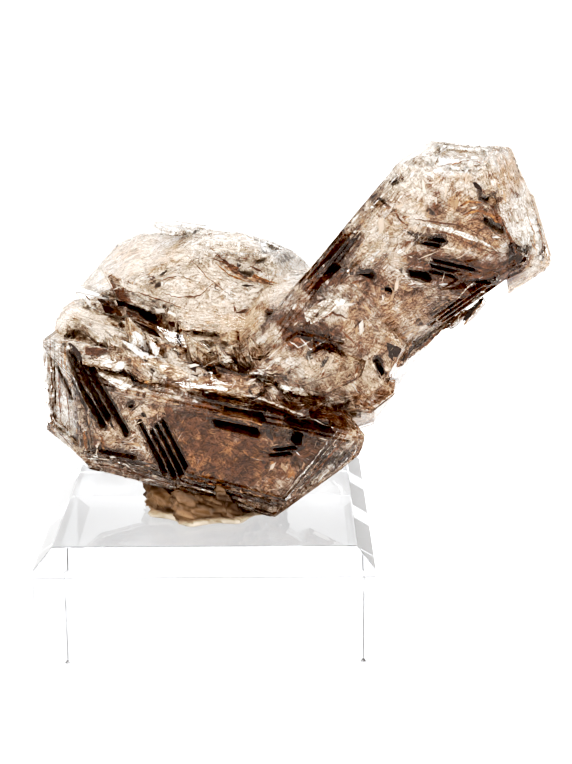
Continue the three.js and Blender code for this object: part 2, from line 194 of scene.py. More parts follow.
INCLUSIONS: dict[Tone, Inclusion] = {
    Tone.FROST: Inclusion((0.99, 0.97, 0.94)),
    Tone.CREAM: Inclusion((0.94, 0.87, 0.79)),
    Tone.SAND: Inclusion((0.80, 0.66, 0.53)),
    Tone.TAN: Inclusion((0.55, 0.37, 0.245)),
    Tone.AMBER: Inclusion((0.46, 0.23, 0.09)),
    Tone.BROWN: Inclusion((0.20, 0.085, 0.038)),
    Tone.DARK: Inclusion((0.028, 0.010, 0.006), 0.4),
    Tone.PARTING: Inclusion((0.97, 0.96, 0.95), 0.15, 1.0),
}


@dataclass(frozen=True)
class ClearFinish:
    """Clear, see-through matter with fine growth lines.

    Args:
        ior: index of refraction.
        tint: colour that the volume keeps.
        density: how strongly the volume absorbs, per metre.
        line_scale: growth lines per metre, 0 for none.
        line_depth: how deep the growth lines read, in metres.
        line_turn: how far they are turned in the XZ plane, in degrees.
        line_stretch: how wide a line is for its length.
        line_detail: octaves of finer lines.
    """

    ior: float
    tint: Point
    density: float
    line_scale: float = 0.0
    line_depth: float = 0.0
    line_turn: float = 16.0
    line_stretch: float = 0.12
    line_detail: float = 4.0

    def material(self, name: str) -> Material:
        """Makes the see-through material.

        Args:
            name: its name.

        Returns:
            The material.
        """
        mat, shader = new_material(name, {
            "Base Color": (1.0, 1.0, 1.0, 1.0), "Roughness": 0.0, "IOR": self.ior, "Transmission Weight": 1.0,
        })
        tree = mat.node_tree
        volume = wired(tree, "VolumeAbsorption", "Volume", {"Color": (*self.tint, 1.0), "Density": self.density})
        feed(tree.nodes["Material Output"], {"Volume": volume})
        if self.line_scale > 0:
            feed(shader, {"Normal": self.lines(tree)})
        return mat

    def lines(self, tree: NodeTree) -> NodeSocket:
        """Adds the stretched noise that reads as growth lines.

        Args:
            tree: the material's nodes.

        Returns:
            Its bump.
        """
        place = wired(tree, "TexCoord", "Object", {})
        stretched = wired(tree, "Mapping", "Vector", {
            "Vector": place, "Rotation": (0.0, math.radians(self.line_turn), 0.0),
            "Scale": (self.line_stretch, 1.0, 1.0),
        })
        noise = wired(tree, "TexNoise", "Fac", {
            "Vector": stretched, "Scale": self.line_scale, "Detail": self.line_detail,
        })
        return wired(tree, "Bump", "Normal", {"Strength": 1.0, "Distance": self.line_depth, "Height": noise})


# -------- mesh helpers --------


def new_piece(mesh: Mesh, material: Material) -> Object:
    """Makes a finished piece, with its mesh's name, from a mesh that is already in place.

    Args:
        mesh: its mesh, in metres.
        material: its material.

    Returns:
        The piece, riding on the one body.
    """
    mesh.materials.append(material)
    piece = bpy.data.objects.new(mesh.name, mesh)
    bpy.context.scene.collection.objects.link(piece)
    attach(piece, BODY)
    log.info("%s: %d faces", piece.name, len(mesh.polygons))
    return piece


def merged_copy(node: Object) -> BMesh:
    """Copies a node's mesh and joins its loose triangles.

    Args:
        node: the CAD node.

    Returns:
        The copy.
    """
    bm = bmesh.new()
    bm.from_mesh(node.data)
    bmesh.ops.remove_doubles(bm, verts=bm.verts, dist=ONE_PLACE)
    return bm


def finished(bm: BMesh, name: str, smooth: bool = False) -> Mesh:
    """Turns a bmesh into a mesh and frees it.

    Args:
        bm: the bmesh.
        name: the mesh's name.
        smooth: whether its faces are shaded smooth.

    Returns:
        The mesh.
    """
    for face in bm.faces:
        face.smooth = smooth
    mesh = bpy.data.meshes.new(name)
    bm.to_mesh(mesh)
    bm.free()
    return mesh


def split_long_edges(bm: BMesh, limit: float, rounds: int = 6) -> None:
    """Halves edges longer than limit, and keeps the faces triangles.

    Args:
        bm: the bmesh, changed in place.
        limit: the longest edge to leave, in mm.
        rounds: how many times to halve.
    """
    for _ in range(rounds):
        long_edges = [e for e in bm.edges if e.calc_length() > limit * MM]
        if not long_edges:
            return
        bmesh.ops.subdivide_edges(bm, edges=long_edges, cuts=1)
        bmesh.ops.triangulate(bm, faces=[f for f in bm.faces if len(f.verts) > 3])


def places(bm: BMesh) -> np.ndarray:
    """Returns the places of a bmesh's vertices, in metres."""
    return np.array([v.co for v in bm.verts])


def push(bm: BMesh, lift: np.ndarray) -> None:
    """Moves each vertex out along its normal by its lift, in metres."""
    for vert, d in zip(bm.verts, lift):
        vert.co += vert.normal * float(d)


def nearest(points: np.ndarray | list[np.ndarray], wanted: np.ndarray) -> tuple[list[int], np.ndarray]:
    """Finds the nearest of some points to each wanted place.

    Args:
        points: the points.
        wanted: the places.

    Returns:
        The number of the nearest point to each place, and the distances.
    """
    tree = KDTree(len(points))
    for number, point in enumerate(points):
        tree.insert(point, number)
    tree.balance()
    found = [tree.find(place) for place in wanted]
    return [f[1] for f in found], np.array([f[2] for f in found])


@dataclass(frozen=True)
class Noise:
    """Smooth noise from a repeating lattice of steady random values.

    Args:
        pitch: the lattice's pitch, in mm.
        seed: which lattice.
        share: how much it counts beside the noises that it is used with.
        side: how many values the lattice has along each side before it repeats.
    """

    pitch: float
    seed: int
    share: float = 1.0
    side: int = 24

    def at(self, points: np.ndarray) -> np.ndarray:
        """Reads the noise.

        Args:
            points: (n, 3) places in metres.

        Returns:
            n values from 0 to 1.
        """
        lattice = np.random.default_rng(self.seed).random((self.side,) * 3)
        q = points / (self.pitch * MM)
        low = np.floor(q).astype(int)
        f = q - low
        f = f * f * (3 - 2 * f)
        total = np.zeros(len(points))
        for corner in range(8):
            step = np.array([corner & 1, corner >> 1 & 1, corner >> 2 & 1])
            weight = np.prod(np.where(step, f, 1 - f), axis=1)
            i, j, k = ((low + step) % self.side).T
            total += weight * lattice[i, j, k]
        return total


def unit(v: np.ndarray) -> np.ndarray:
    """Returns the rows of v at length 1."""
    return v / np.maximum(np.linalg.norm(v, axis=-1, keepdims=True), 1e-12)


def rise(value: np.ndarray, start: float, over: float) -> np.ndarray:
    """Returns 0 up to start, and a straight rise to 1 over the width after it."""
    return np.clip((value - start) / over, 0, 1)


# -------- the crystals --------


@dataclass(frozen=True)
class Crystal:
    """One crystal of the group, as the inclusions see it.

    Args:
        name: its name.
        start: one end of its middle line, in mm.
        end: the other end, in mm.
        reach: its half thickness, in mm.
        mix: how much of each tone it holds, in the tones' order.
    """

    name: str
    start: Point
    end: Point
    reach: float
    mix: tuple[float, ...]

    def axis(self) -> np.ndarray:
        """Returns the unit vector along the crystal."""
        return unit(np.array(self.end) - np.array(self.start))

    def distance(self, points: np.ndarray) -> np.ndarray:
        """Measures how far points lie from the middle line.

        Args:
            points: (n, 3) places in metres.

        Returns:
            n distances in half thicknesses.
        """
        a, b = np.array(self.start) * MM, np.array(self.end) * MM
        along = b - a
        t = np.clip((points - a) @ along / (along @ along), 0, 1)
        return np.linalg.norm(points - a - t[:, None] * along, axis=1) / (self.reach * MM)


CRYSTALS = (
    Crystal("lower", (-20, -3, 38), (18, -3, 27), 14, (0.3, 0.9, 1.4, 2.2, 0.3, 1.3, 0.25, 0.03)),
    Crystal("arm", (12, 1, 38), (46, -2, 68), 11, (0.7, 1.7, 2.1, 2.1, 0.3, 0.9, 0.12, 0.04)),
    Crystal("rear", (-16, 12, 52), (12, 12, 48), 10, (1.4, 3.0, 1.6, 0.5, 0.1, 0.2, 0.06, 0.05)),
)


@dataclass(frozen=True)
class Zone:
    """A region where one tone gathers.

    Args:
        at: its centre, in mm.
        reach: its half sizes along X, Y and Z, in mm.
        strength: how strongly the tone gathers.
        turn: how far its long side is turned in the XZ plane, in degrees up from +X.
    """

    at: Point
    reach: Point
    strength: float
    turn: float = 0.0

    def weight(self, points: np.ndarray) -> np.ndarray:
        """Works out how strongly the tone gathers at each place.

        Args:
            points: (n, 3) places in metres.

        Returns:
            n weights.
        """
        offset = points / MM - np.array(self.at)
        c, s = math.cos(math.radians(self.turn)), math.sin(math.radians(self.turn))
        along = offset[:, 0] * c + offset[:, 2] * s
        across = -offset[:, 0] * s + offset[:, 2] * c
        r = self.reach
        d2 = (along / r[0]) ** 2 + (offset[:, 1] / r[1]) ** 2 + (across / r[2]) ** 2
        return self.strength * np.exp(-d2 * d2)


ZONES: dict[Tone, tuple[Zone, ...]] = {
    Tone.FROST: (
        Zone((-21.5, -8, 38), (2.6, 12, 9), 12),
        Zone((34, -2, 73), (9, 12, 3), 60),
        Zone((47.5, -3, 62), (4, 12, 9), 20, -70),
        Zone((-2, 13, 57.5), (13, 10, 3), 40),
        Zone((13, 13, 54), (5, 9, 4), 40, -40),
        Zone((-18, 11, 50), (3.4, 9, 4), 20),
    ),
    Tone.CREAM: (
        Zone((33, -8, 66.5), (6.5, 6, 4), 7, -10),
        Zone((7.6, 6, 53), (5.5, 7, 3.6), 40, -33),
        Zone((18, -8, 49.4), (3.4, 4, 2), 14, 30),
        Zone((-9, -9, 42), (8, 7, 3.2), 12, -16),
        Zone((-17.5, -4, 46), (5, 8, 3.2), 44, -10),
        Zone((-4, 2, 47.5), (9, 6, 2.4), 16, -10),
        Zone((2, -3, 44), (8, 7, 3), 9, -10),
        Zone((-2, 6, 52), (12, 8, 5), 5, -14),
    ),
    Tone.SAND: (
        Zone((-15.5, -12, 33.5), (5, 6, 5), 3, -14),
        Zone((24, -8, 43), (8, 6, 5), 3, 30),
        Zone((2, -3, 44), (8, 7, 3), 9, -10),
    ),
    Tone.TAN: (
        Zone((13.5, -12, 31), (4.8, 5, 3.6), 12, -14),
        Zone((40.5, -8, 62.5), (5, 5, 4), 9, -25),
        Zone((26, -8, 47), (8, 6, 6), 8, 30),
        Zone((11, -13, 24.6), (7, 5, 2.5), 4, 30),
    ),
    Tone.AMBER: (
        Zone((3, -12, 29.4), (8, 6, 4.6), 38, -14),
        Zone((41, -8, 62), (4, 5, 4), 5, -35),
    ),
    Tone.BROWN: (
        Zone((3, -12, 29.4), (8, 6, 4.6), 90, -14),
        Zone((-3, -12, 33), (2.6, 5, 3.4), 9, -50),
        Zone((13, -12, 31), (4.6, 5, 3.4), 36, -14),
        Zone((16, -12, 33), (4.6, 5, 1.6), 14, -14),
        Zone((41.5, -8, 62.5), (4, 5, 4), 4, -35),
        Zone((44.6, -7, 55.5), (3, 5, 3.6), 12, 60),
        Zone((38.5, -7, 49.5), (6.5, 6, 2.2), 12, 42),
        Zone((18.8, -6, 57), (5.5, 6, 2.2), 14, 46),
        Zone((38.5, -8, 54.8), (7, 5, 2.4), 60, -16),
        Zone((20, -8, 53), (4.5, 5, 3), 5, 20),
        Zone((28, -8, 54), (5, 5, 2.4), 4, -10),
        Zone((19, -8, 43), (7, 6, 6), 1.6, 30),
        Zone((16, -8, 45.6), (5.5, 5, 2.4), 24, -17),
        Zone((3, -3, 43.4), (7, 5, 2), 5, -8),
        Zone((-14, 0, 49.4), (3.4, 5, 1.6), 14, -45),
    ),
    Tone.DARK: (
        Zone((13.5, -12, 31), (4.8, 5, 3.6), 46, -14),
        Zone((4, -12, 35), (7, 5, 2.2), 3, -14),
        Zone((16, -8, 45.6), (5, 5, 1.8), 9, -17),
    ),
}


@dataclass
class QuartzSkin:
    """The clear outside of the grown-together crystals.

    Args:
        node: the CAD node that it stands for.
        finish: the clear quartz.
        grain: longest edge of its small facets, in mm.
        relief: depth of the growth relief, in mm.
        steps: the growth steps.
        etching: the etching on them.
        stretch: how wide a growth step is for its length.
    """

    node: Object
    finish: ClearFinish = ClearFinish(1.544, (0.92, 0.76, 0.58), 150.0, 1400.0, 0.00005)
    grain: float = 1.1
    relief: float = 0.05
    steps: Noise = Noise(1.6, 5)
    etching: Noise = Noise(0.7, 6, share=0.5)
    stretch: float = 0.35

    def build(self) -> Object:
        """Builds the skin.

        Returns:
            The piece.
        """
        bm = merged_copy(self.node)
        split_long_edges(bm, self.grain)
        self.roughen(bm)
        piece = new_piece(finished(bm, "quartz_skin"), self.finish.material("clear_quartz"))
        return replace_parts(piece, "quartz_crystal")

    def roughen(self, bm: BMesh) -> None:
        """Moves the vertices in and out of their faces as growth steps do.

        Args:
            bm: the skin, changed in place.
        """
        bm.normal_update()
        points = places(bm)
        stretched = points * np.array([self.stretch, 1.0, 1.0])
        height = self.steps.at(stretched) + self.etching.share * self.etching.at(points)
        push(bm, (height - height.mean()) * self.relief * MM)


@dataclass(frozen=True)
class Matter:
    """Says which tones of matter gather at a place in the quartz, where it stays clear, and where painted shade makes
    pits and slots brown and dark.

    Args:
        streaks: the small streaks of each tone, in the tones' order.
        patches: the patches of each tone, in the tones' order.
        streak_force: how strongly the streaks sort the tones.
        patch_force: how strongly the patches sort the tones.
        cream_pale: how pale cream counts beside frost.
        pale: how much pale matter begins to keep the painted shade out, and how much more keeps all of it out.
        brown_shade: how much of the sky must be hidden before brown painted shade begins, and how much more until it
            is full.
        brown_shade_gain: how strong the brown painted shade gets.
        dark_shade: the same as for the brown painted shade, for the dark painted shade in deep pits and slots.
        dark_shade_gain: how strong it gets.
        shade_seam_gain: how strong the brown streaks in the dark painted shade get.
        rim_width: how far from a crystal's edges the quartz stays clear, in mm.
        rim_fade: how wide the inner side of that rim is, in mm.
        rim_clear: how clear it is there.
        rim_frost: how much frost is left there.
    """

    streaks: tuple[Noise, ...] = tuple(Noise(1.1, 40 + tone.number) for tone in Tone)
    patches: tuple[Noise, ...] = tuple(Noise(5.0, 60 + tone.number) for tone in Tone)
    streak_force: float = 4.0
    patch_force: float = 3.0
    cream_pale: float = 0.6
    pale: Ramp = (3.0, 8.0)
    brown_shade: Ramp = (0.5, 0.2)
    brown_shade_gain: float = 9.0
    dark_shade: Ramp = (0.8, 0.15)
    dark_shade_gain: float = 40.0
    shade_seam_gain: float = 14.0
    rim_width: float = 1.2
    rim_fade: float = 0.5
    rim_clear: float = 0.6
    rim_frost: float = 2.5

    def crystal(self, points: np.ndarray) -> np.ndarray:
        """Returns the number of the crystal that holds each point in metres."""
        return np.stack([c.distance(points) for c in CRYSTALS]).argmin(0)

    def shares(self, points: np.ndarray, shade: np.ndarray, rim: np.ndarray) -> np.ndarray:
        """Works out how the tones share each place, with painted shade added as brown and dark where the solid hides
        the sky.

        Args:
            points: (n, 3) places in metres.
            shade: how much of the sky over each place the solid hides.
            rim: each place's distance to a crystal edge, in metres.

        Returns:
            (n, tones) shares that add up to 1.
        """
        weights = np.array([c.mix for c in CRYSTALS])[self.crystal(points)]
        for tone in Tone:
            for zone in ZONES.get(tone, ()):
                weights[:, tone.number] += zone.weight(points)
            streak = self.streak_force * (self.streaks[tone.number].at(points) - 0.5)
            patch = self.patch_force * (self.patches[tone.number].at(points) - 0.5)
            weights[:, tone.number] *= np.exp(streak + patch)
        frost, cream, brown, dark = (t.number for t in (Tone.FROST, Tone.CREAM, Tone.BROWN, Tone.DARK))
        pale = weights[:, frost] + self.cream_pale * weights[:, cream]
        bare = 1 - rise(pale, *self.pale)
        hidden = rise(shade, *self.dark_shade)
        seams = self.streaks[Tone.PARTING.number].at(points)
        weights[:, frost] += self.rim_frost * self.in_rim(rim)
        # Painted shade: brown where the solid hides the sky over a place, and dark with brown streaks in deep pits and
        # slots, unless pale matter holds there.
        weights[:, brown] += self.brown_shade_gain * bare * rise(shade, *self.brown_shade)
        weights[:, brown] += self.shade_seam_gain * seams * bare * hidden
        weights[:, dark] += self.dark_shade_gain * bare * hidden
        return weights / weights.sum(1, keepdims=True)

    def clear(self, rim: np.ndarray) -> np.ndarray:
        """Returns how clear the quartz is, 0 to 1, at each distance from a crystal edge."""
        return self.rim_clear * self.in_rim(rim)

    def in_rim(self, rim: np.ndarray) -> np.ndarray:
        """Returns 1 at the crystals' edges and 0 beyond the clear rims."""
        return np.clip((self.rim_width * MM - rim) / (self.rim_fade * MM), 0, 1)


@dataclass
class Ground:
    """The faces of a solid in small pieces, with what grows below each of them.

    Args:
        node: the CAD node.
        grain: the longest edge of a piece, in mm.
        reach: how far a facing wall still shades a place, in mm.
        rays: how many directions are tried for shade.
        lean: how far those directions lean to the face's own, so that none starts below it.
        lift: how far above a face the tries start, in mm.
        wall_lift: how far above a face a facing wall is looked for, in mm.
        edge_length: the shortest edge that has a clear rim, in mm.
        edge_angle: the bluntest edge that has one, in degrees.
        edge_step: how close the marks along an edge are, in mm.
        flatness: the angle up to which faces count as one, in radians.
    """

    node: Object
    grain: float = 1.8
    reach: float = 1.4
    rays: int = 8
    lean: float = 1.02
    lift: float = 0.02
    wall_lift: float = 0.03
    edge_length: float = 6.0
    edge_angle: float = 16.0
    edge_step: float = 0.4
    flatness: float = 0.02

    def survey(self, rng: np.random.Generator) -> None:
        """Measures the faces: places, normals, areas, shade and nearest crystal edge.

        Args:
            rng: the draws of the directions that are tried for shade.
        """
        bm = merged_copy(self.node)
        bmesh.ops.triangulate(bm, faces=bm.faces)
        self.tree = BVHTree.FromBMesh(bm)
        split_long_edges(bm, self.grain)
        self.corners = np.array([[v.co for v in f.verts] for f in bm.faces])
        bm.free()
        a, b, c = self.corners[:, 0], self.corners[:, 1], self.corners[:, 2]
        cross = np.cross(b - a, c - a)
        self.area = np.linalg.norm(cross, axis=1) / 2
        self.normal = unit(cross)
        self.centre = (a + b + c) / 3
        self.shade = self.shaded(rng)
        self.rim, self.edge = self.rims()
        log.info("ground: %d faces", len(self.area))

    def shaded(self, rng: np.random.Generator) -> np.ndarray:
        """Works out how much of the sky over each face the solid itself hides.

        Args:
            rng: the draws of the directions that are tried.

        Returns:
            A share from 0 to 1 for each face.
        """
        n = len(self.area)
        hidden = np.zeros(n)
        start = self.centre + self.normal * self.lift * MM
        for _ in range(self.rays):
            way = unit(unit(rng.normal(size=(n, 3))) + self.normal * self.lean)
            for i in range(n):
                if self.tree.ray_cast(Vector(start[i]), Vector(way[i]), self.reach * MM)[0] is not None:
                    hidden[i] += 1
        return hidden / self.rays

    def rims(self) -> tuple[np.ndarray, np.ndarray]:
        """Finds the crystals' long edges.

        Returns:
            Each face's distance to the nearest long edge, in metres, and that edge's direction.
        """
        bm = merged_copy(self.node)
        bmesh.ops.dissolve_limit(bm, angle_limit=self.flatness, verts=bm.verts, edges=bm.edges)
        points, ways = [], []
        for e in bm.edges:
            if not e.is_convex or len(e.link_faces) != 2 or e.calc_length() < self.edge_length * MM:
                continue
            if e.calc_face_angle(0.0) < math.radians(self.edge_angle) or any(map(self.faces_wall, e.link_faces)):
                continue
            a, b = (np.array(v.co) for v in e.verts)
            for t in np.linspace(0, 1, max(2, int(e.calc_length() / (self.edge_step * MM)))):
                points.append(a + (b - a) * t)
                ways.append(unit(b - a))
        bm.free()
        near, distance = nearest(points, self.centre)
        return distance, np.array([ways[i] for i in near])

    def holds(self, point: Vector, cover: float) -> bool:
        """Returns whether a point lies inside the solid, at least cover mm below its faces."""
        near, normal, _, distance = self.tree.find_nearest(Vector(point))
        return distance > cover * MM and (Vector(point) - near).dot(normal) < 0

    def faces_wall(self, face: BMFace) -> bool:
        """Returns whether a face looks at another wall of the solid close by."""
        start = face.calc_center_median() + face.normal * self.wall_lift * MM
        return self.tree.ray_cast(start, face.normal, self.reach * MM)[0] is not None


class Mark(Enum):
    """The marks in the tangled matter, each with places along its noise and the brightness there."""

    HAIR = ((0.34, 0.42), (0.45, 0.95), (0.57, 1.0), (0.68, 1.4))
    SHARD = ((0.0, 0.52), (0.25, 0.82), (0.7, 1.02), (1.0, 1.28))
    CRACK = ((0.0, 0.45), (0.025, 0.72), (0.06, 1.04), (0.4, 1.1))


@dataclass(frozen=True)
class Weave:
    """One set of marks in the tangled matter, each stretched one way.

    Args:
        mark: the kind of mark.
        bearing: the way the marks run in the XZ plane, in degrees up from +X.
        stretch: how long a mark is for its width.
        scale: marks per metre.
    """

    mark: Mark
    bearing: float
    stretch: float
    scale: float


@dataclass(frozen=True)
class VeilFinish:
    """The tangled matter of the veil: its tint, crossed by shards and hair lines.

    Args:
        weaves: the sets of marks.
        warmth: how much more the dark marks take from green and blue, as powers.
        swirl_scale: swirls per metre.
        swirl: how far the swirls carry the marks, in metres.
        shift: how far each set of marks is moved from the last, in metres.
        hair_bend: how far the hair lines bend.
        roughness: how dull the matter is.
    """

    weaves: tuple[Weave, ...] = (
        Weave(Mark.SHARD, -16.0, 4.0, 560.0),
        Weave(Mark.SHARD, 40.0, 5.0, 1200.0),
        Weave(Mark.CRACK, -18.0, 7.0, 900.0),
        Weave(Mark.CRACK, 42.0, 5.0, 700.0),
        Weave(Mark.HAIR, -20.0, 10.0, 3800.0),
        Weave(Mark.HAIR, 44.0, 9.0, 4600.0),
        Weave(Mark.HAIR, -60.0, 7.0, 5200.0),
    )
    warmth: Point = (1.0, 1.2, 1.4)
    swirl_scale: float = 170.0
    swirl: float = 0.003
    shift: Point = (0.013, 0.007, 0.0)
    hair_bend: float = 0.25
    roughness: float = 0.6

    def material(self, name: str) -> Material:
        """Makes the veil's material.

        Args:
            name: its name.

        Returns:
            The material.
        """
        mat, shader = new_material(name, {"Roughness": self.roughness, "Specular IOR Level": 0.0})
        tree = mat.node_tree
        colour = wired(tree, "Attribute", "Color", {}, attribute_name="tint")
        strength = colour.node.outputs["Alpha"]
        swirled = self.swirled_place(tree)
        for number, weave in enumerate(self.weaves):
            mix = {"Factor": strength, "A": colour, "B": self.marks(tree, weave, number, swirled)}
            colour = wired(tree, "Mix", "Result", mix, data_type="RGBA", blend_type="MULTIPLY")
        feed(shader, {"Base Color": colour})
        return mat

    def swirled_place(self, tree: NodeTree) -> NodeSocket:
        """Adds the slow swirls that carry the marks along.

        Args:
            tree: the material's nodes.

        Returns:
            The place on the object, swirled.
        """
        place = wired(tree, "TexCoord", "Object", {})
        slow = wired(tree, "TexNoise", "Color", {"Vector": place, "Scale": self.swirl_scale, "Detail": 1.0})
        return wired(tree, "VectorMath", "Vector", {0: slow, 1: (self.swirl,) * 3, 2: place}, operation="MULTIPLY_ADD")

    def marks(self, tree: NodeTree, weave: Weave, number: int, swirled: NodeSocket) -> NodeSocket:
        """Returns the brightness of one set of marks.

        Args:
            tree: the material's nodes.
            weave: the set of marks.
            number: which set it is.
            swirled: the place on the object.

        Returns:
            A colour socket around 1.
        """
        turned = wired(tree, "Mapping", "Vector", {
            "Vector": swirled, "Location": tuple(number * s for s in self.shift),
            "Rotation": (0.0, -math.radians(weave.bearing), 0.0), "Scale": (weave.stretch, 1.0, 1.0),
        }, vector_type="TEXTURE")
        pattern = {"Vector": turned, "Scale": weave.scale}
        if weave.mark is Mark.HAIR:
            level = wired(tree, "TexNoise", "Fac", {**pattern, "Detail": 2.0, "Distortion": self.hair_bend})
        elif weave.mark is Mark.CRACK:
            level = wired(tree, "TexVoronoi", "Distance", pattern, feature="DISTANCE_TO_EDGE")
        else:
            level = wired(tree, "TexVoronoi", "Color", pattern)
        return ramped(tree, level, tuple((at, tuple(light**w for w in self.warmth)) for at, light in weave.mark.value))


@dataclass
class MatterVeil:
    """The sheet of matter that lies just below the faces, with holes where the quartz is clear.

    Args:
        ground: the surveyed faces.
        matter: what gathers where.
        depth: least depth of the sheet, in mm.
        relief: how much deeper it dips, in mm.
        dips: the dips, and the smaller dents among them.
        rim_depth: how much deeper it lies below the clear rims, in mm.
        pit: how much of the sky must be hidden before a pit begins, and how much more until it is all pit.
        pit_depth: its depth below the walls of a pit, in mm.
        cover: the least quartz over it, in mm.
        grain: longest edge of its facets, in mm.
        sorting: how strongly the leading tone of a place wins there.
        frost_calm: how much fainter the marks are on frosted places.
        pale_calm: how much fainter they are on cream and sand.
        parting: the partings' colour in the veil.
        finish: its matter.
    """

    ground: Ground
    matter: Matter = Matter()
    depth: float = 0.4
    relief: float = 0.7
    dips: tuple[Noise, Noise] = (Noise(1.2, 31, share=0.6), Noise(0.5, 32, share=0.4))
    rim_depth: float = 0.7
    pit: Ramp = (0.7, 0.15)
    pit_depth: float = 0.12
    cover: float = 0.06
    grain: float = 0.7
    sorting: float = 2.0
    frost_calm: float = 0.25
    pale_calm: float = 0.35
    parting: Point = (0.8, 0.7, 0.6)
    finish: VeilFinish = VeilFinish()

    def build(self) -> list[Object]:
        """Builds the veil.

        Returns:
            One piece for each crystal.
        """
        bm = merged_copy(self.ground.node)
        split_long_edges(bm, self.grain)
        bm.normal_update()
        points = places(bm)
        near, _ = nearest(self.ground.centre, points)
        shade, rim = self.ground.shade[near], self.ground.rim[near]
        push(bm, -self.depths(points, shade, rim))
        self.colour(bm, shade, rim)
        gone = [v for v in bm.verts if not self.ground.holds(v.co, self.cover)]
        bmesh.ops.delete(bm, geom=gone, context="VERTS")
        material = self.finish.material("tangled_matter")
        holder = self.matter.crystal(np.array([f.calc_center_median() for f in bm.faces]))
        pieces = []
        for number, crystal in enumerate(CRYSTALS):
            part = bm.copy()
            others = [f for f, h in zip(part.faces, holder) if h != number]
            bmesh.ops.delete(part, geom=others, context="FACES")
            pieces.append(new_piece(finished(part, f"{crystal.name}_matter_veil"), material))
        bm.free()
        return pieces

    def depths(self, points: np.ndarray, shade: np.ndarray, rim: np.ndarray) -> np.ndarray:
        """Works out how deep the veil lies.

        Args:
            points: (n, 3) places on the faces, in metres.
            shade: how much of the sky over each place the solid hides.
            rim: each place's distance to a crystal edge, in metres.

        Returns:
            n depths in metres.
        """
        dip = sum(noise.at(points) * noise.share for noise in self.dips)
        pit = rise(shade, *self.pit)
        open_depth = (self.depth + self.relief * dip + self.rim_depth * self.matter.in_rim(rim)) * MM
        return open_depth * (1 - pit) + self.pit_depth * MM * pit

    def colour(self, bm: BMesh, shade: np.ndarray, rim: np.ndarray) -> None:
        """Writes each vertex's colour, and how strongly it is marked, to the tint.

        Args:
            bm: the veil, changed in place.
            shade: how much of the sky over each vertex the solid hides.
            rim: each vertex's distance to a crystal edge, in metres.
        """
        # The shares hold the painted shade of pits and slots as brown and dark.
        shares = self.matter.shares(places(bm), shade, rim) ** self.sorting
        shares /= shares.sum(1, keepdims=True)
        colours = np.array([self.parting if t is Tone.PARTING else INCLUSIONS[t].colour for t in Tone])
        frost, cream, sand = (shares[:, t.number] for t in (Tone.FROST, Tone.CREAM, Tone.SAND))
        marked = 1.0 - self.frost_calm * frost - self.pale_calm * (cream + sand)
        layer = bm.verts.layers.float_color.new("tint")
        for vert, tint, mark in zip(bm.verts, shares @ colours, marked):
            vert[layer] = (*tint, mark)


# -------- inlays and streaks --------


def rows(text: str) -> list[list[str]]:
    """Returns the words of each line of a table."""
    return [line.split() for line in text.strip().splitlines()]


def corners_of(numbers: list[str]) -> tuple[Corner, ...]:
    """Returns the corners whose X and Z the numbers of a row give in turn."""
    values = [float(n) for n in numbers]
    return tuple(zip(values[::2], values[1::2]))


@dataclass(frozen=True)
class Inlay:
    """A thin sheet that follows the faces: a parting, a healed crack or a stain.

    Args:
        tone: its tone.
        outline: its corners' X and Z, in mm, on the plane that the sheets are drawn on.
    """

    tone: Tone
    outline: tuple[Corner, ...]

    @classmethod
    def table(cls, text: str) -> tuple[Inlay, ...]:
        """Reads inlays from rows of a tone and then each corner's X and Z."""
        return tuple(cls(Tone(tone), corners_of(path)) for tone, *path in rows(text))


@dataclass(frozen=True)
class Streak:
    """A thin line just below the faces: a crack, a growth line or a clayey seam.

    Args:
        tone: its tone.
        width: its width at the middle, in mm.
        path: the X and Z that it passes, in mm, on the plane that the sheets are drawn on.
    """

    tone: Tone
    width: float
    path: tuple[Corner, ...]

    @classmethod
    def table(cls, text: str) -> tuple[Streak, ...]:
        """Reads streaks from rows of a tone, a width, and the X and Z of each place they pass."""
        return tuple(cls(Tone(tone), float(width), corners_of(path)) for tone, width, *path in rows(text))

    @property
    def outline(self) -> list[Corner]:
        """The outline of the streak, which tapers to both ends.

        Returns:
            Its corners' X and Z, in mm.
        """
        path, turns = np.array(self.path), np.arange(len(self.path))
        tip, belly, steps_per_turn = 0.1, 0.4, 3
        steps = np.linspace(0, turns[-1], steps_per_turn * len(path))
        middle = np.stack([np.interp(steps, turns, path[:, k]) for k in (0, 1)], axis=1)
        side = unit(np.gradient(middle, axis=0))[:, ::-1] * np.array([-1.0, 1.0])
        half = self.width * (tip + belly * np.sin(np.pi * steps / turns[-1]))[:, None]
        return [tuple(p) for p in (*(middle + side * half), *(middle - side * half)[::-1])]


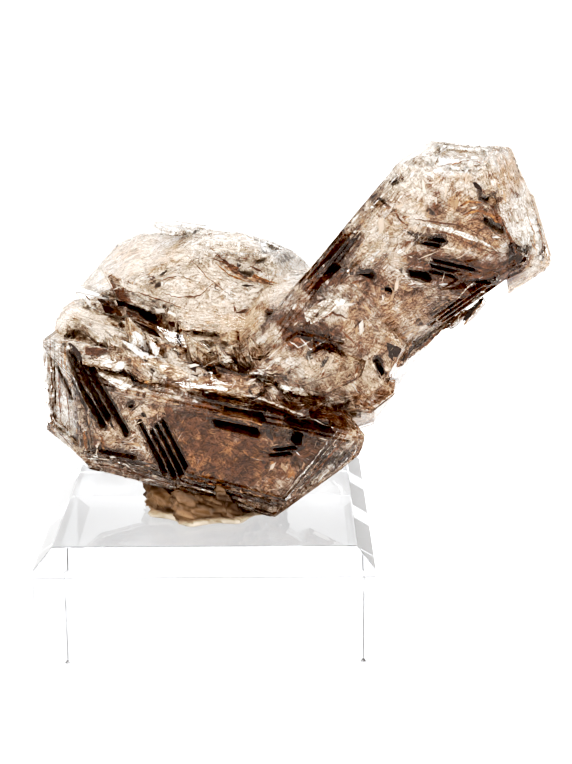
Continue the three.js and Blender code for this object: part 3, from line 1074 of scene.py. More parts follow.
INLAYS = Inlay.table("""
cream -17.8 42.2 -14.6 43.1 -12 41.7 -10.8 38.3 -12.6 37.5 -17.2 41.3
frost -12.6 46.8 -10.2 46.7 -7.4 44.7 -8.7 42.8 -9.7 42.7 -12.3 45.1
sand -9.7 43.1 -4.2 41.4 -2.3 40 -4.6 39.1 -6.8 40.3
brown -17.9 44.4 -13.4 43.9 -16.1 43 -17.8 43.3
frost 6.5 40.6 8.2 40.2 9.7 39 9.1 38.5 7.1 39.6
cream 10.7 38.5 14.5 37.9 15.5 36.6 12.9 37.1 11.1 37.9
dark -9.5 45.1 -8.7 43.3 -10 43.7
dark -6.3 43.6 -5.2 42.8 -6.7 42.6
dark -12.4 48.2 -11.6 47.4 -12.8 47.1
dark -2.4 40.9 -1.2 41.6 -1.5 40.4
brown 11.3 45.8 13 46.9 14.8 45.3 13 43.8
brown 14.3 45 15.9 46.8 18 45.8 16.4 43.8
brown 17.6 45.8 19.2 46.8 20.4 45 18.6 43.1
brown 4.4 49.3 6.3 50.5 9.9 50.8 10 50.1 6.8 49.2 4.8 48.7
brown 15.4 55.3 19.4 60.5 20.6 60.6 16.9 55.2
dark 17.2 55.2 21 60.6 22.7 60.8 20.9 58.5 19.9 55.9
brown 14.6 53.1 15.9 54.6 20.5 55.6 19.5 54 15.5 52.2
brown 33.3 57.2 38 57 43.4 55.7 43.1 53.9 39.3 55.2 35.5 56.1
brown 30.2 55.3 31.5 56.2 33.9 55.7 32.9 54.5 31.1 54.4
cream 14.8 49.6 18.2 51.7 21.3 51.5 19.1 49.6 15.9 47.8 15.1 48.2
brown 35.7 46.3 38.1 50.4 41.6 54.3 42.8 55 39.4 50.6 36.4 46.2
dark 37.4 46.6 40.1 50.6 44.2 55.4 42.5 53 39.1 48.6 37.9 46.8
brown -16.2 52.8 -15.1 52 -12.2 49.3 -11.1 47.7 -13 47.1 -14.4 49
brown -11.7 50 -8.1 48.9 -4.4 48.2 -4.4 47.4 -8.5 47.7 -11 49
brown -3.7 46.9 -2.9 48.2 1.6 47.5 0.8 46.6 -2.9 45.9
frost 34.1 71.3 35.1 73.2 41 73 43 72.7 38.9 71.9
dark 16 33.2 19.4 32 18.9 30.8 16.4 31.2
cream -12.2 46.6 -9.5 45.4 -9.7 43.7 -11.7 44.5
frost -9.1 45.2 -6.7 44.3 -7.1 42.7 -9 42.5
cream 6.5 40.5 9.5 39.9 9.1 38.8 7.4 39.5
cream 11 38.6 15.3 37 14.9 36.5 11.7 37.4
dark 22.8 56.1 24.2 55.8 25.5 55.4 24.2 54.6 23 54.9
brown 43 56.1 44.9 57.4 47.2 58.7 47.1 56.9 45.9 54.7 44.4 53 43.5 53.4 44.6 55.2
dark 27 44.9 28.7 44.2 29.8 43.8 30 41.6 29.2 42.3 27.5 42.9
tan 2.8 56.7 5.4 56.2 8.3 54.5 10.5 53.7 7.9 54.1 5 55
brown 33.5 57.7 37.1 57.5 41.5 56.4 43.5 55.3 41.1 54.5 37.2 55 34.8 56.1
""")

STREAKS = Streak.table("""
brown 0.45 40.7 67.8 41.8 65.7 43.4 63.1 45 60.4 45.9 59.1
dark 0.54 39.2 68.8 39.9 68.2 40.7 67.5
dark 1.54 44.8 59.8 46.6 58.7 46.9 57.4 45.8 55.6 44.5 53.5
brown 0.54 44.4 61.2 45.4 59.4 46.3 58 45.4 56.1 43.6 53.9
amber 0.36 37.1 65.2 38.8 66 40.8 65.8
amber 0.41 37.8 63.9 40.4 64.7 42.2 63.8 43.5 62.2
brown 0.32 38.1 63 40.1 63.4 43.1 62.1
brown 0.32 39.2 62 42.3 62 44.4 60.6
brown 0.27 41.4 65.2 42.8 63.5 43.9 61.5
cream 0.68 30.4 63 33.6 62.4 37 61.5 40.5 60.2 43.2 58.6
brown 0.23 30.1 63.6 34 62.9 37.9 62.4 41.5 60.5
brown 0.23 32.7 61.3 35.3 61.5 37.9 60.2 41.4 58.6 43.6 57.7
dark 0.18 28.9 61.9 30.2 61.3 31.5 60.4
dark 0.23 33.7 57.8 37.1 57.2 40.6 56.1 43.5 55.4
cream 0.41 33 57.4 35.4 56.9 37.6 56.1
brown 0.23 28 65.3 28.4 63.6 30.1 62.3
dark 0.64 23 55.5 24.2 55.8 25.4 55.2
brown 0.45 21.6 54 24.2 54.4 26.5 53.1
brown 0.32 41.8 54.5 38.4 51.2 35.5 47.6
cream 0.27 42.8 54.2 39.5 50.9 36.4 47.1
dark 0.41 43.4 53.6 40.1 50.4 37.4 47.1 35.7 46.1
cream 0.23 41.1 54.8 39 53.4 36.9 50.8
brown 0.36 37.4 48.5 34.8 46.3 32.2 44.1 30.2 41.3
dark 0.32 35.6 47.7 33.5 45.9 31.3 43.8
dark 0.36 27 44.8 28.4 44.1 29.5 43.2
dark 0.32 29.1 44.3 27.5 42.9 28.1 42
brown 0.41 29.8 44.1 30.2 42.7 30.1 41.1
dark 0.27 25.2 42.8 25.7 41.4 26.4 40
dark 0.64 12.1 45.4 14.2 46 16.9 45 19.5 43.2
dark 0.45 16.4 46.4 18.4 45.7 20.4 42.7
dark 0.54 11.6 47.3 13.8 46.4 16 46.4
cream 0.18 12.1 45.6 13.9 44.1 17 45.9
cream 0.18 13.9 45.9 15.7 43.9 19.1 45.9
brown 0.36 17.3 48.6 19 49.5 21.2 48.6
tan 0.23 47.4 67.4 49.3 62.2 50.3 57.8
tan 0.18 46.7 65.6 48.3 61.3 48.8 58.2
brown 0.18 34.7 74.1 34.4 72.8 33.7 71.3
brown 0.18 33.8 71 36.8 71.6 41 72.4 43.9 73.2
dark 0.45 27.6 68.8 28.2 69.2
dark 0.36 24.2 66.3 25.4 67.3
cream 0.32 20.1 61.4 22 61.6 24.6 61.7
cream 0.32 23.7 65 25.4 65.5 26.5 65.2
brown 0.15 -23 46.5 -23 40.1 -23.3 31.4
brown 0.12 -21.4 45.5 -21.5 40.1 -22 35.4
tan 0.15 -20.8 45.9 -21 42 -20.7 38.9
dark 0.23 -22.1 41.2 -20.6 38.7 -19.4 35.7
dark 1.54 -20.2 45 -19.4 43.4 -18.5 41.8
dark 1.77 -20.3 40.5 -19.2 38.9 -18 36.2 -16.6 33.4 -15.7 32.2
dark 1 -18.3 41.5 -17.1 38.9 -15.6 35 -13.8 31.4
cream 0.19 -18.6 40.5 -17.2 36.9 -16 33.4
dark 0.54 -11.6 34.9 -10.6 34.7
amber 0.5 -18.5 31.3 -18.4 29.8 -18.3 28.2
brown 0.46 -17.1 30.6 -16.9 29.4 -16.8 28.1
amber 0.46 -15.9 30.6 -15.7 29.4 -15.6 28.1
dark 0.39 -18.7 27.9 -14 27.6 -9.5 25 -5.7 23.3
cream 0.23 -18.9 27 -14 26.6 -10.3 24.5
brown 0.19 -19.7 26.6 -14.4 25.5 -10.3 24.2 -5.7 22.7
dark 0.19 -5.7 22.9 -1.9 22.4 3.4 20.5 8.7 17.6
cream 0.23 -2.7 22.4 1.1 21.2 4.9 19.4
brown 0.23 -1.1 23.3 3.4 21.7 7.2 19.2
brown 1.16 -6 35.9 -5.6 34.1 -5.1 32.1
dark 0.46 -0.7 36.1 1.4 35.9 4.4 34.9 8.5 34.4
dark 1.16 1.5 33 3.6 32.5 6.2 31.3 8.3 30.6
cream 0.35 1.4 37.6 7.4 36.6 12.6 34.4 19.4 31.5
dark 0.31 1 37 7 35.6 11.1 34.3 16.4 32
cream 0.23 -0.9 38.2 2.1 38 5.1 37.5
brown 0.39 8.9 34.8 12.6 33.2 18.7 30.4
dark 2.31 13 32.1 14.3 30.9 14.5 29.7
dark 1.39 15.3 31.6 17.9 30.8 19.4 30.6
dark 1.31 10.2 28.5 12.6 28.1 14.9 28.5
dark 0.77 8.9 32.1 9.4 30.5 10 29.7
brown 0.77 9 28.9 9.8 27.3 10.3 26.1
frost 0.19 12.2 28.8 13.2 28.1 14.1 27.2
brown 0.23 21.7 31.2 19.5 28 16 24 11.6 18
cream 0.19 20.8 31.2 18.3 28 15.3 24.4
brown 0.15 19.8 31.2 17.6 28.4 14.5 24.9 11.1 20
dark 0.69 -4.1 46.9 -3.9 45.4 -3.7 44.3
dark 0.46 -0.8 41.5 1.4 40.9 3.3 40.1
dark 0.39 -2.3 40 -0.1 40 2.2 40.4
brown 0.31 4.6 50.3 4.9 46.9 5.2 43.8 6.3 41.4
brown 0.39 -3.7 46.6 -0.7 46.9 3 48.4
dark 0.31 6.9 42.5 8.2 42.2 9.3 41.9
cream 0.46 -9.9 41.8 -7.1 41.2 -4.3 41.5
cream 0.35 -3.8 38.8 -0.8 40 1.4 40.3
dark 1.16 -15.9 52.4 -14.7 50.8 -13.1 48.5 -12.2 47.6
brown 0.77 -14.6 52.1 -13 50 -11.6 47.7
dark 0.54 -11.4 49.9 -8.4 48.9 -5.7 48
dark 0.35 -10.6 48.5 -8.5 47.3 -7 46.4
dark 0.46 -4 47.9 -3.8 46.2 -3.6 44.6
brown 0.54 -2.9 47.3 -0.7 46.7 2.7 47.3
brown 0.35 4.6 49.3 6.8 50 9.4 50.4
cream 0.23 4.7 49.8 7.5 50.7 10.5 52.6 12.3 54.9
brown 0.19 4.4 51 4.5 49.9 4.4 48.6
brown 0.23 0.7 59.7 3.2 57 7.6 54
amber 0.31 1.4 57.8 4.6 56.3 9.1 54.4 10.9 54
brown 0.31 6.8 56.4 7.8 56.1 8.7 55.5
brown 0.23 2.8 57.5 4.6 55.6 6.4 54.6
dark 0.27 5.5 53.6 6.5 53.6 7.5 53.6
dark 0.15 1.7 54 1.6 53.3 2.2 52.9 2.7 53.1
brown 0.14 -13.8 53.1 -9.8 52.7 -4.3 50.8 -1.4 49.2
brown 0.14 -2.7 58.6 0.2 55.2 4.6 51.5
brown 0.14 -16.7 54.2 -14.1 54.9 -11.5 57.4
brown 0.1 -3 61.1 -0.4 60.8 4.7 62 6.5 61.8
brown 0.1 -7.7 62.7 -5.5 63.2 -2.9 62.6
brown 0.12 4.7 59.3 6.9 59.3 9.8 57.8
brown 0.14 -9.3 55.7 -6.4 54.5 -3.5 55.2 -0.5 54.1
brown 0.14 -6.8 53 -4.3 51.9 -0.6 52.1 1.1 53.7
brown 0.23 -17.9 53.8 -17.8 52.7 -16.8 51.6
brown 0.14 48.1 65.6 49.2 61.7 50.1 57.4
tan 0.14 47.2 62.2 48.6 59.1 49.2 56.9
dark 0.18 45.5 53.4 48 56.1 49.2 57
brown 0.18 44.8 53.5 47.4 56.4 48.7 57.4
brown 0.31 1 57.9 4.6 56.4 7.6 54.8 10.5 53.7
brown 0.31 1.7 58.2 5 56 6.8 54.9
amber 0.23 1.7 57.1 3.9 55.2 6.8 54.1
dark 0.12 -22.4 46.3 -22.6 38.9 -22.7 31.4
brown 0.12 -21.9 44 -22.1 37 -21.8 30.6
dark 0.12 -23.3 31.4 -21.9 29.2 -20.4 27.2
brown 0.12 -22.7 31.8 -21.3 29.8 -19.7 27.8
brown 0.12 -21.1 38.9 -20.7 35 -20.6 31.4
dark 0.12 20.4 32 16.4 26.5 11.1 18.8
brown 0.12 19.4 31.2 15.3 26.1 10.3 20
cream 0.23 20 31.4 15.8 25.9 10.9 19.6
dark 0.12 18.3 29.6 14.9 25.3 12 21.2
brown 0.09 -2.9 62.7 0.3 62 4.7 61.9 8.3 60.4 11.6 58.6 13 56.9
brown 0.09 -1.9 61.4 1.8 61.2 5.4 60.8 9.1 59 12 57.1
tan 0.09 -15.6 55 -12.6 57 -8.5 60.1
""")


@dataclass
class InlaySheets:
    """Thin sheets, carried from the viewpoint onto the faces and laid just below them.

    Args:
        name: the piece's name.
        sheets: the sheets.
        ground: the surveyed faces.
        eye: the viewpoint, in mm.
        plane: Y of the plane that the outlines are drawn on, in mm.
        depth: depth below the faces, in mm.
        grain: longest edge of the sheets' facets, in mm.
        jump: longest edge left where the ground steps back, in mm.
        ragged: how far their outlines stray, in mm.
        tears: the coarse and fine tears in their outlines, along X and along Z.
        frost_marks: how strongly the frosted ones are marked.
        finish: their matter.
    """

    name: str
    sheets: tuple[Inlay | Streak, ...]
    ground: Ground
    eye: Point
    plane: float = -10.0
    depth: float = 0.12
    grain: float = 0.4
    jump: float = 1.1
    ragged: float = 0.25
    tears: tuple[tuple[Noise, Noise], ...] = ((Noise(0.7, 81), Noise(0.3, 83)), (Noise(0.7, 82), Noise(0.3, 84)))
    frost_marks: float = 0.3
    finish: VeilFinish = VeilFinish()

    def build(self) -> Object:
        """Builds the sheets.

        Returns:
            One piece for all of them.
        """
        bm = bmesh.new()
        layer = bm.verts.layers.float_color.new("tint")
        for sheet in self.sheets:
            tint = (*INCLUSIONS[sheet.tone].colour, self.frost_marks if sheet.tone is Tone.FROST else 1.0)
            corners = [bm.verts.new(Vector((x, self.plane, z)) * MM) for x, z in sheet.outline]
            bm.faces.new(corners)
            for vert in corners:
                vert[layer] = tint
        bmesh.ops.triangulate(bm, faces=bm.faces)
        split_long_edges(bm, self.grain)
        self.tear(bm)
        eye = Vector(self.eye) * MM
        lost = [vert for vert in bm.verts if not self.lay(vert, eye)]
        bmesh.ops.delete(bm, geom=lost, context="VERTS")
        torn = [e for e in bm.edges if e.calc_length() > self.jump * MM]
        bmesh.ops.delete(bm, geom=torn, context="EDGES")
        loose = [v for v in bm.verts if not v.link_faces]
        bmesh.ops.delete(bm, geom=loose, context="VERTS")
        return new_piece(finished(bm, self.name), self.finish.material(f"{self.name}_matter"))

    def tear(self, bm: BMesh) -> None:
        """Moves the vertices about in the plane, so that the outlines are ragged.

        Args:
            bm: the sheets, changed in place.
        """
        points = places(bm)
        sideways, upward = (coarse.at(points) + fine.at(points) for coarse, fine in self.tears)
        for vert, dx, dz in zip(bm.verts, sideways, upward):
            vert.co += Vector((dx - 1.0, 0.0, dz - 1.0)) * self.ragged * MM

    def lay(self, vert: BMVert, eye: Vector) -> bool:
        """Carries a vertex from the viewpoint onto the solid.

        Args:
            vert: the vertex, moved in place.
            eye: the viewpoint, in metres.

        Returns:
            Whether it reached a place inside the solid.
        """
        way = (vert.co - eye).normalized()
        hit = self.ground.tree.ray_cast(eye, way)[0]
        if hit is None:
            return False
        vert.co = hit + way * self.depth * MM
        return self.ground.holds(vert.co, 0.5 * self.depth)


# -------- flakes and needles --------


@dataclass(frozen=True)
class FlakeKind:
    """One kind of flake.

    Args:
        name: its name.
        count: how many are tried.
        length: middle length, in mm.
        spread: spread of the length.
        slimness: narrowest and widest half width, as a share of the length.
        depth: mean depth below the faces, in mm.
        margin: least depth, in mm.
        tilt: how far it may leave the plane of the face above.
        darkness: how much more often it is dark than the matter around it.
        sorting: how strongly the leading tone of a place wins.
    """

    name: str
    count: int
    length: float
    spread: float
    slimness: tuple[float, float]
    depth: float
    margin: float
    tilt: float
    darkness: float
    sorting: float


KINDS = (
    FlakeKind("strip", 18_000, 0.75, 0.5, (0.05, 0.22), 0.25, 0.08, 0.25, 0.0, 3.0),
    FlakeKind("needle", 100_000, 0.8, 0.5, (0.012, 0.030), 0.3, 0.06, 0.3, 0.2, 1.5),
)


@dataclass
class InclusionCloud:
    """Thin flakes and needles of matter below the faces of the quartz, in fields that lie one way.

    Args:
        ground: the surveyed faces below which they lie.
        matter: what gathers where.
        seed: the random seed of the draws.
        frost_clear: how clear frosted places stay of flakes.
        pit_from: how much of the sky must be hidden before a place counts as a pit.
        pit_depth: how deep flakes lie below a pit's walls, as a share of the depth elsewhere.
        dip: how steeply a flake may dip for its depth.
        roll: spread of its roll about its length.
        skew: how far its side corners may slip along it.
        cover: the least quartz over it, in mm.
        swirls: the slow swirls in their lie.
        swirl_turn: how far a swirl turns them, in radians.
        fields: the fields that lie one way.
        field_ways: how many ways there are.
        field_turn: the turn from one to the next, in radians.
        field_first: the first way, in radians from the crystal's length.
        crossing: how far the ones that lie across are turned, in radians.
        crossing_share: the share of them on each side.
        stray: spread of the lie, in radians.
        rim_stray: spread of it along the crystals' edges.
    """

    ground: Ground
    matter: Matter = Matter()
    seed: int = 11
    frost_clear: float = 0.6
    pit_from: float = 0.7
    pit_depth: float = 0.15
    dip: float = 1.2
    roll: float = 0.35
    skew: float = 0.5
    cover: float = 0.04
    swirls: Noise = Noise(4.0, 71)
    swirl_turn: float = 1.6
    fields: Noise = Noise(2.6, 72)
    field_ways: int = 4
    field_turn: float = 0.9
    field_first: float = -1.35
    crossing: float = 0.9
    crossing_share: float = 0.1
    stray: float = 0.1
    rim_stray: float = 0.03

    def build(self) -> list[Object]:
        """Builds the flakes and needles.

        Returns:
            One piece for each kind and tone.
        """
        self.rng = np.random.default_rng(self.seed)
        pieces = []
        for kind in KINDS:
            corners, tones = self.flakes(kind)
            for tone in Tone:
                chosen = corners[tones == tone.number]
                if len(chosen) > 0:
                    finish = INCLUSIONS[tone].material(f"{kind.name}_{tone.value}")
                    mesh = self.sheet_mesh(chosen, f"{kind.name}s_{tone.value}")
                    pieces.append(new_piece(mesh, finish))
        return pieces

    def flakes(self, kind: FlakeKind) -> tuple[np.ndarray, np.ndarray]:
        """Lays out one kind of flake.

        Args:
            kind: the kind.

        Returns:
            (n, 4, 3) corners in metres and each flake's tone number.
        """
        g, rng, n = self.ground, self.rng, kind.count
        pick = rng.choice(len(g.area), n, p=g.area / g.area.sum())
        r1, r2 = np.sqrt(rng.random(n))[:, None], rng.random(n)[:, None]
        tri = g.corners[pick]
        on = tri[:, 0] * (1 - r1) + tri[:, 1] * r1 * (1 - r2) + tri[:, 2] * r1 * r2
        normal, shade, rim = g.normal[pick], g.shade[pick], g.rim[pick]
        deep = kind.depth * np.where(shade > self.pit_from, self.pit_depth, 1.0)
        depth = (kind.margin + rng.exponential(deep, n)) * MM
        points = on - normal * depth[:, None]
        tone = self.tones(points, shade, rim, kind)
        kept = tone >= 0
        points, normal, depth, tone = points[kept], normal[kept], depth[kept], tone[kept]
        in_rim, edge = (rim < self.matter.rim_width * MM)[kept], g.edge[pick][kept]
        along = self.ways(points, normal, in_rim, edge)
        n = len(points)
        length = kind.length * MM * np.exp(rng.normal(0, kind.spread, n))
        tilt = np.clip(rng.normal(0, kind.tilt, n), -1, 1) * np.minimum(1, self.dip * depth / length)
        along = unit(along + normal * tilt[:, None])
        across = unit(np.cross(normal, along) + normal * rng.normal(0, self.roll, n)[:, None])
        half = (0.5 * length)[:, None] * along
        wide = (length * rng.uniform(*kind.slimness, n))[:, None] * across
        slip = rng.uniform(-self.skew, self.skew, (n, 1)) * half
        corners = np.stack([points - half, points + slip - wide, points + half, points - slip + wide], axis=1)
        inside = np.array([
            all(g.holds(p, self.cover) for p in (c[0], c[2], (c[0] + c[2]) / 2)) for c in corners
        ])
        return corners[inside], tone[inside]

    def tones(self, points: np.ndarray, shade: np.ndarray, rim: np.ndarray, kind: FlakeKind) -> np.ndarray:
        """Draws each flake's tone.

        Args:
            points: the flakes' places in metres.
            shade: how far each lies below a pit.
            rim: each one's distance to a crystal edge.
            kind: the kind of flake.

        Returns:
            Each flake's tone number, -1 where the quartz stays clear.
        """
        # The shares hold the painted shade of pits and slots, so flakes there are drawn brown and dark.
        share = self.matter.shares(points, shade, rim)
        favoured = share**kind.sorting * np.exp(kind.darkness * np.arange(len(Tone)))
        favoured = np.cumsum(favoured / favoured.sum(1, keepdims=True), axis=1)
        tone = (favoured < self.rng.random(len(points))[:, None]).sum(1)
        clear = np.maximum(self.matter.clear(rim), self.frost_clear * share[:, Tone.FROST.number])
        tone[self.rng.random(len(points)) < clear] = -1
        return tone

    def ways(self, points: np.ndarray, normal: np.ndarray, in_rim: np.ndarray, edge: np.ndarray) -> np.ndarray:
        """Draws the direction that each flake lies in, in the plane of the face above it.

        Args:
            points: the flakes' places in metres.
            normal: the faces' normals.
            in_rim: which of them lie in a clear rim.
            edge: the direction of the nearest crystal edge.

        Returns:
            (n, 3) unit vectors.
        """
        rng, n = self.rng, len(points)
        axes = np.array([c.axis() for c in CRYSTALS])[self.matter.crystal(points)]
        flat = unit(axes - normal * (axes * normal).sum(1, keepdims=True))
        side = np.cross(normal, flat)
        swirl = (self.swirls.at(points) - 0.5) * self.swirl_turn
        field = np.floor(self.field_ways * self.fields.at(points))
        lie = swirl + (field * self.field_turn + self.field_first)
        share = self.crossing_share
        crossing = rng.choice([0.0, self.crossing, -self.crossing], n, p=[1 - 2 * share, share, share])
        angle = lie + crossing + rng.normal(0, self.stray, n)
        along = flat * np.cos(angle)[:, None] + side * np.sin(angle)[:, None]
        along[in_rim] = edge[in_rim] + rng.normal(0, self.rim_stray, (int(in_rim.sum()), 3))
        return unit(along)

    @staticmethod
    def sheet_mesh(corners: np.ndarray, name: str) -> Mesh:
        """Makes one mesh of separate four-cornered flakes.

        Args:
            corners: (n, 4, 3) corners in metres.
            name: the mesh's name.

        Returns:
            The mesh.
        """
        n = len(corners)
        mesh = bpy.data.meshes.new(name)
        mesh.vertices.add(4 * n)
        mesh.vertices.foreach_set("co", corners.reshape(-1))
        mesh.loops.add(4 * n)
        mesh.loops.foreach_set("vertex_index", np.arange(4 * n))
        mesh.polygons.add(n)
        mesh.polygons.foreach_set("loop_start", np.arange(0, 4 * n, 4))
        mesh.update(calc_edges=True)
        return mesh


# -------- block and tack --------


@dataclass
class DisplayBlock:
    """The clear acrylic block with softened edges.

    Args:
        node: the CAD node that it stands for.
        finish: the clear acrylic.
        edge: how wide its softened edges are, in mm.
        flatness: the bend up to which neighbouring faces are one, in radians.
    """

    node: Object
    finish: ClearFinish = ClearFinish(1.49, (0.52, 0.54, 0.57), 12.0)
    edge: float = 0.15
    flatness: float = 0.01

    def build(self) -> Object:
        """Builds the block.

        Returns:
            The piece.
        """
        bm = merged_copy(self.node)
        bmesh.ops.dissolve_limit(bm, angle_limit=self.flatness, verts=bm.verts, edges=bm.edges)
        bmesh.ops.bevel(
            bm, geom=bm.edges[:], offset=self.edge * MM, segments=3, profile=0.5, affect="EDGES", material=-1
        )
        bmesh.ops.recalc_face_normals(bm, faces=bm.faces)
        piece = new_piece(finished(bm, "acrylic_display"), self.finish.material("clear_acrylic"))
        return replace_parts(piece, "acrylic_block")


@dataclass
class TackLump:
    """The kneaded lump of mineral tack.

    Args:
        node: the CAD node that it stands for.
        grain: longest edge of its facets, in mm.
        fold: how deep its folds are, in mm.
        squeeze: how often folds come along their run, in depth and across it, as shares.
        folds: the folds, and the creases among them.
        crest: the height that stays where it was, as a share of a fold.
        still_below: the height above the floor up to which nothing moves, in mm.
        lie: the way its folds run in the XZ plane, in radians up from +X.
        dull: colour of the dark tack, and of the painted shade on it.
        clean: colour of the fresh tack.
        foot: colour of the squeezed foot.
        roughness: how dull its surface is.
        foot_top: where the foot ends, in mm above the floor.
        foot_fade: how high its colour fades out, in mm.
        shade_from: X where the painted shade under the crystal begins, in mm.
        shade_at: X where most of it is in painted shade, in mm.
        dark_shade: how strong the painted shade gets there.
        swirl_scale: swirls of colour per metre.
        smear: how long a swirl is for its width.
        mixed: the levels of the swirls at which the tack is all dark and all fresh.
    """

    node: Object
    grain: float = 0.45
    fold: float = 2.6
    squeeze: Point = (0.5, 0.8, 1.7)
    folds: tuple[Noise, Noise] = (Noise(1.7, 21), Noise(0.7, 22, share=0.6))
    crest: float = 0.3
    still_below: float = 17.9
    lie: float = -0.35
    dull: Point = (0.045, 0.026, 0.015)
    clean: Point = (0.19, 0.125, 0.075)
    foot: Point = (0.50, 0.42, 0.33)
    roughness: float = 0.55
    foot_top: float = 18.0
    foot_fade: float = 0.8
    shade_from: float = -3.0
    shade_at: float = 6.0
    dark_shade: float = 0.8
    swirl_scale: float = 340.0
    smear: float = 3.5
    mixed: tuple[float, float] = (0.38, 0.62)

    def build(self) -> Object:
        """Builds the lump.

        Returns:
            The piece.
        """
        bm = merged_copy(self.node)
        split_long_edges(bm, self.grain)
        bm.normal_update()
        points = places(bm)
        c, s = math.cos(self.lie), math.sin(self.lie)
        along = points[:, 0] * c + points[:, 2] * s
        across = points[:, 2] * c - points[:, 0] * s
        laid = np.stack([along, points[:, 1], across], axis=1) * np.array(self.squeeze)
        ridge = sum(noise.share * np.abs(noise.at(laid) - 0.5) for noise in self.folds)
        still = points[:, 2] < self.still_below * MM
        push(bm, np.where(still, 0.0, (ridge - self.crest) * self.fold) * MM)
        piece = new_piece(finished(bm, "tack_lump", smooth=True), self.material())
        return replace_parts(piece, "mineral_tack")

    def material(self) -> Material:
        """Makes the kneaded material: dark and fresh tack in swirls, painted shade that darkens it towards +X under
        the crystal, and pale at the foot.

        Returns:
            The material.
        """
        mat, shader = new_material("kneaded_tack", {"Roughness": self.roughness})
        tree = mat.node_tree
        place = wired(tree, "TexCoord", "Object", {})
        laid = wired(tree, "Mapping", "Vector", {
            "Vector": place, "Rotation": (0.0, -self.lie, 0.0), "Scale": (self.smear, 1.0, 1.0),
        }, vector_type="TEXTURE")
        swirl = wired(tree, "TexNoise", "Fac", {
            "Vector": laid, "Scale": self.swirl_scale, "Detail": 5.0, "Distortion": 1.2,
        })
        kneaded = ramped(tree, swirl, tuple(zip(self.mixed, (self.dull, self.clean))))
        sideways = wired(tree, "SeparateXYZ", "X", {"Vector": place})
        # Painted shade: the tack gets darker towards +X, where it lies under the crystal.
        dark_shade = wired(tree, "MapRange", "Result", {
            "Value": sideways, "From Min": self.shade_from * MM, "From Max": self.shade_at * MM, "To Max": self.dark_shade,
        })
        in_shade = {"Factor": dark_shade, "A": kneaded, "B": (*self.dull, 1.0)}
        foot = wired(tree, "MapRange", "Result", {
            "Value": sideways.node.outputs["Z"], "From Min": self.foot_top * MM,
            "From Max": (self.foot_top + self.foot_fade) * MM,
        })
        above = wired(tree, "Mix", "Result", in_shade, data_type="RGBA")
        whole = {"Factor": foot, "A": (*self.foot, 1.0), "B": above}
        feed(shader, {"Base Color": wired(tree, "Mix", "Result", whole, data_type="RGBA")})
        return mat


# -------- studio --------


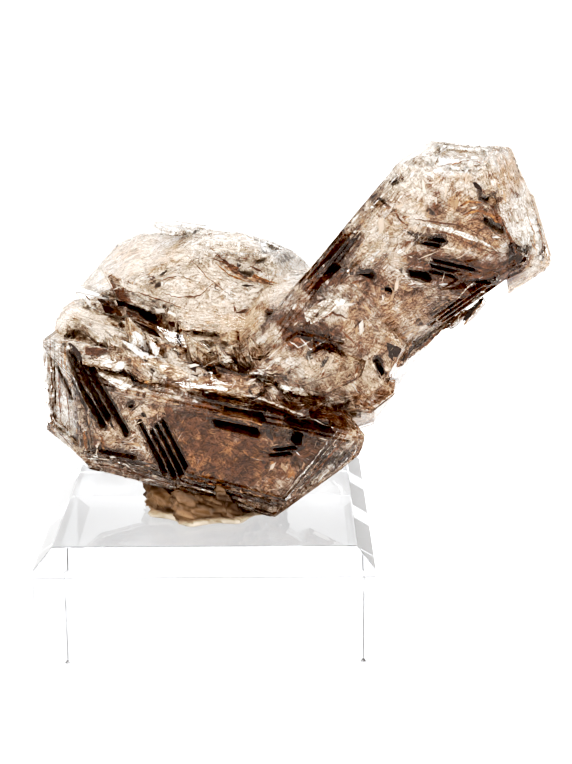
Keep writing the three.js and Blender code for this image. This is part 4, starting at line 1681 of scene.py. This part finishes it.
@dataclass
class Studio:
    """Floor, light and camera.

    Args:
        camera_at: the camera's place, in mm.
        turn: its yaw, pitch and roll, in degrees.
        lens: focal length for the sensor, in mm.
        sensor: width of the sensor, in mm.
        nearest: how near the camera sees, in metres.
        air_film: the thin air between the block and the floor, in mm.
        floor_half: half the floor's side, in metres.
        floor_grey: how pale the floor is.
        floor_roughness: how dull the floor is.
        opening: the way to the dark opening in the surroundings.
        around: the surroundings' colours, from beside the opening to its middle.
        brightness: strength of the surroundings.
        black: the light that is taken as black.
        curve: points of the contrast curve between black and white.
        lit: the place that the lamps are turned to, in mm.
        softboxes: each lamp's place, in mm, and power, in watts.
        softbox_size: side of a lamp, in mm.
    """

    camera_at: Point = (11.5, -236.3, 104.1)
    turn: Point = (-0.14, -16.09, 0.23)
    lens: float = 74.01
    sensor: float = 36.0
    nearest: float = 0.01
    air_film: float = 0.1
    floor_half: float = 4.0
    floor_grey: float = 0.93
    floor_roughness: float = 0.6
    opening: Point = (0.0, -0.97, 0.24)
    around: tuple[tuple[float, Point], ...] = ((0.82, (1.0, 1.0, 1.0)), (0.95, (0.38, 0.36, 0.34)))
    brightness: float = 1.6
    black: Point = (0.022, 0.036, 0.044)
    curve: tuple[Corner, ...] = ((0.08, 0.045), (0.5, 0.56))
    lit: Point = (10.0, 0.0, 45.0)
    softboxes: tuple[tuple[Point, float], ...] = (
        ((-260, -330, 330), 1.6), ((330, -260, 260), 1.2), ((60, 120, 420), 1.2),
    )
    softbox_size: float = 120.0

    def build(self) -> None:
        """Builds the studio."""
        self.floor()
        self.world()
        self.lamps()
        self.camera()
        self.tone_curve()

    def floor(self) -> None:
        """Lays the pale floor."""
        bm = bmesh.new()
        bmesh.ops.create_grid(bm, x_segments=1, y_segments=1, size=self.floor_half)
        bmesh.ops.translate(bm, vec=(0.0, 0.0, -self.air_film * MM), verts=bm.verts)
        mesh = finished(bm, "floor")
        grey = (self.floor_grey, self.floor_grey, self.floor_grey, 1.0)
        mat, _ = new_material("pale_floor", {"Base Color": grey, "Roughness": self.floor_roughness})
        mesh.materials.append(mat)
        floor = bpy.data.objects.new("floor", mesh)
        bpy.context.scene.collection.objects.link(floor)

    def world(self) -> None:
        """Sets the pale surroundings, with the dark opening that the camera looks through."""
        world = bpy.data.worlds.new("studio")
        bpy.context.scene.world = world
        world.use_nodes = True
        tree = world.node_tree
        way = wired(tree, "TexCoord", "Generated", {})
        facing = wired(tree, "VectorMath", "Value", {0: way, 1: self.opening}, operation="DOT_PRODUCT")
        light = ramped(tree, facing, self.around)
        feed(tree.nodes["Background"], {"Strength": self.brightness, "Color": light})

    def lamps(self) -> None:
        """Hangs the soft lamps, each turned to the specimen."""
        for number, (place, power) in enumerate(self.softboxes):
            data = bpy.data.lights.new(f"softbox_{number}", "AREA")
            data.size = self.softbox_size * MM
            data.energy = power
            lamp = bpy.data.objects.new(data.name, data)
            turn = (Vector(self.lit) * MM - Vector(place) * MM).to_track_quat("-Z", "Y").to_matrix().to_4x4()
            lamp.matrix_world = Matrix.Translation(Vector(place) * MM) @ turn
            bpy.context.scene.collection.objects.link(lamp)

    def camera(self) -> None:
        """Sets the camera."""
        data = bpy.data.cameras.new("camera")
        data.lens = self.lens
        data.sensor_width = self.sensor
        data.clip_start = self.nearest
        camera = bpy.data.objects.new("camera", data)
        yaw, pitch, roll = (math.radians(a) for a in self.turn)
        turn = Matrix.Rotation(yaw, 4, "Z") @ Matrix.Rotation(pitch, 4, "X") @ Matrix.Rotation(roll, 4, "Y")
        upright = Matrix.Rotation(math.radians(90), 4, "X")
        camera.matrix_world = Matrix.Translation(Vector(self.camera_at) * MM) @ turn @ upright
        bpy.context.scene.collection.objects.link(camera)
        bpy.context.scene.camera = camera

    def tone_curve(self) -> None:
        """Sets the developed contrast: deep darks and clean whites."""
        view = bpy.context.scene.view_settings
        view.view_transform = "Standard"
        view.use_curve_mapping = True
        mapping = view.curve_mapping
        mapping.black_level = self.black
        all_channels = mapping.curves[3]
        for x, y in self.curve:
            all_channels.points.new(x, y)
        mapping.update()


def main() -> None:
    """Builds every piece around the frame."""
    logging.basicConfig(level=logging.INFO, format="%(name)s: %(message)s")
    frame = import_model()
    nodes = frame["nodes"]
    Studio().build()
    QuartzSkin(nodes["quartz_crystal"]).build()
    ground = Ground(nodes["quartz_crystal"])
    ground.survey(np.random.default_rng(SHADE_SEED))
    MatterVeil(ground).build()
    InlaySheets("inlays", INLAYS, ground, Studio.camera_at).build()
    InlaySheets("streaks", STREAKS, ground, Studio.camera_at, depth=0.07, jump=1.8).build()
    InclusionCloud(ground).build()
    DisplayBlock(nodes["acrylic_block"]).build()
    TackLump(nodes["mineral_tack"]).build()


if __name__ == "__main__":
    main()
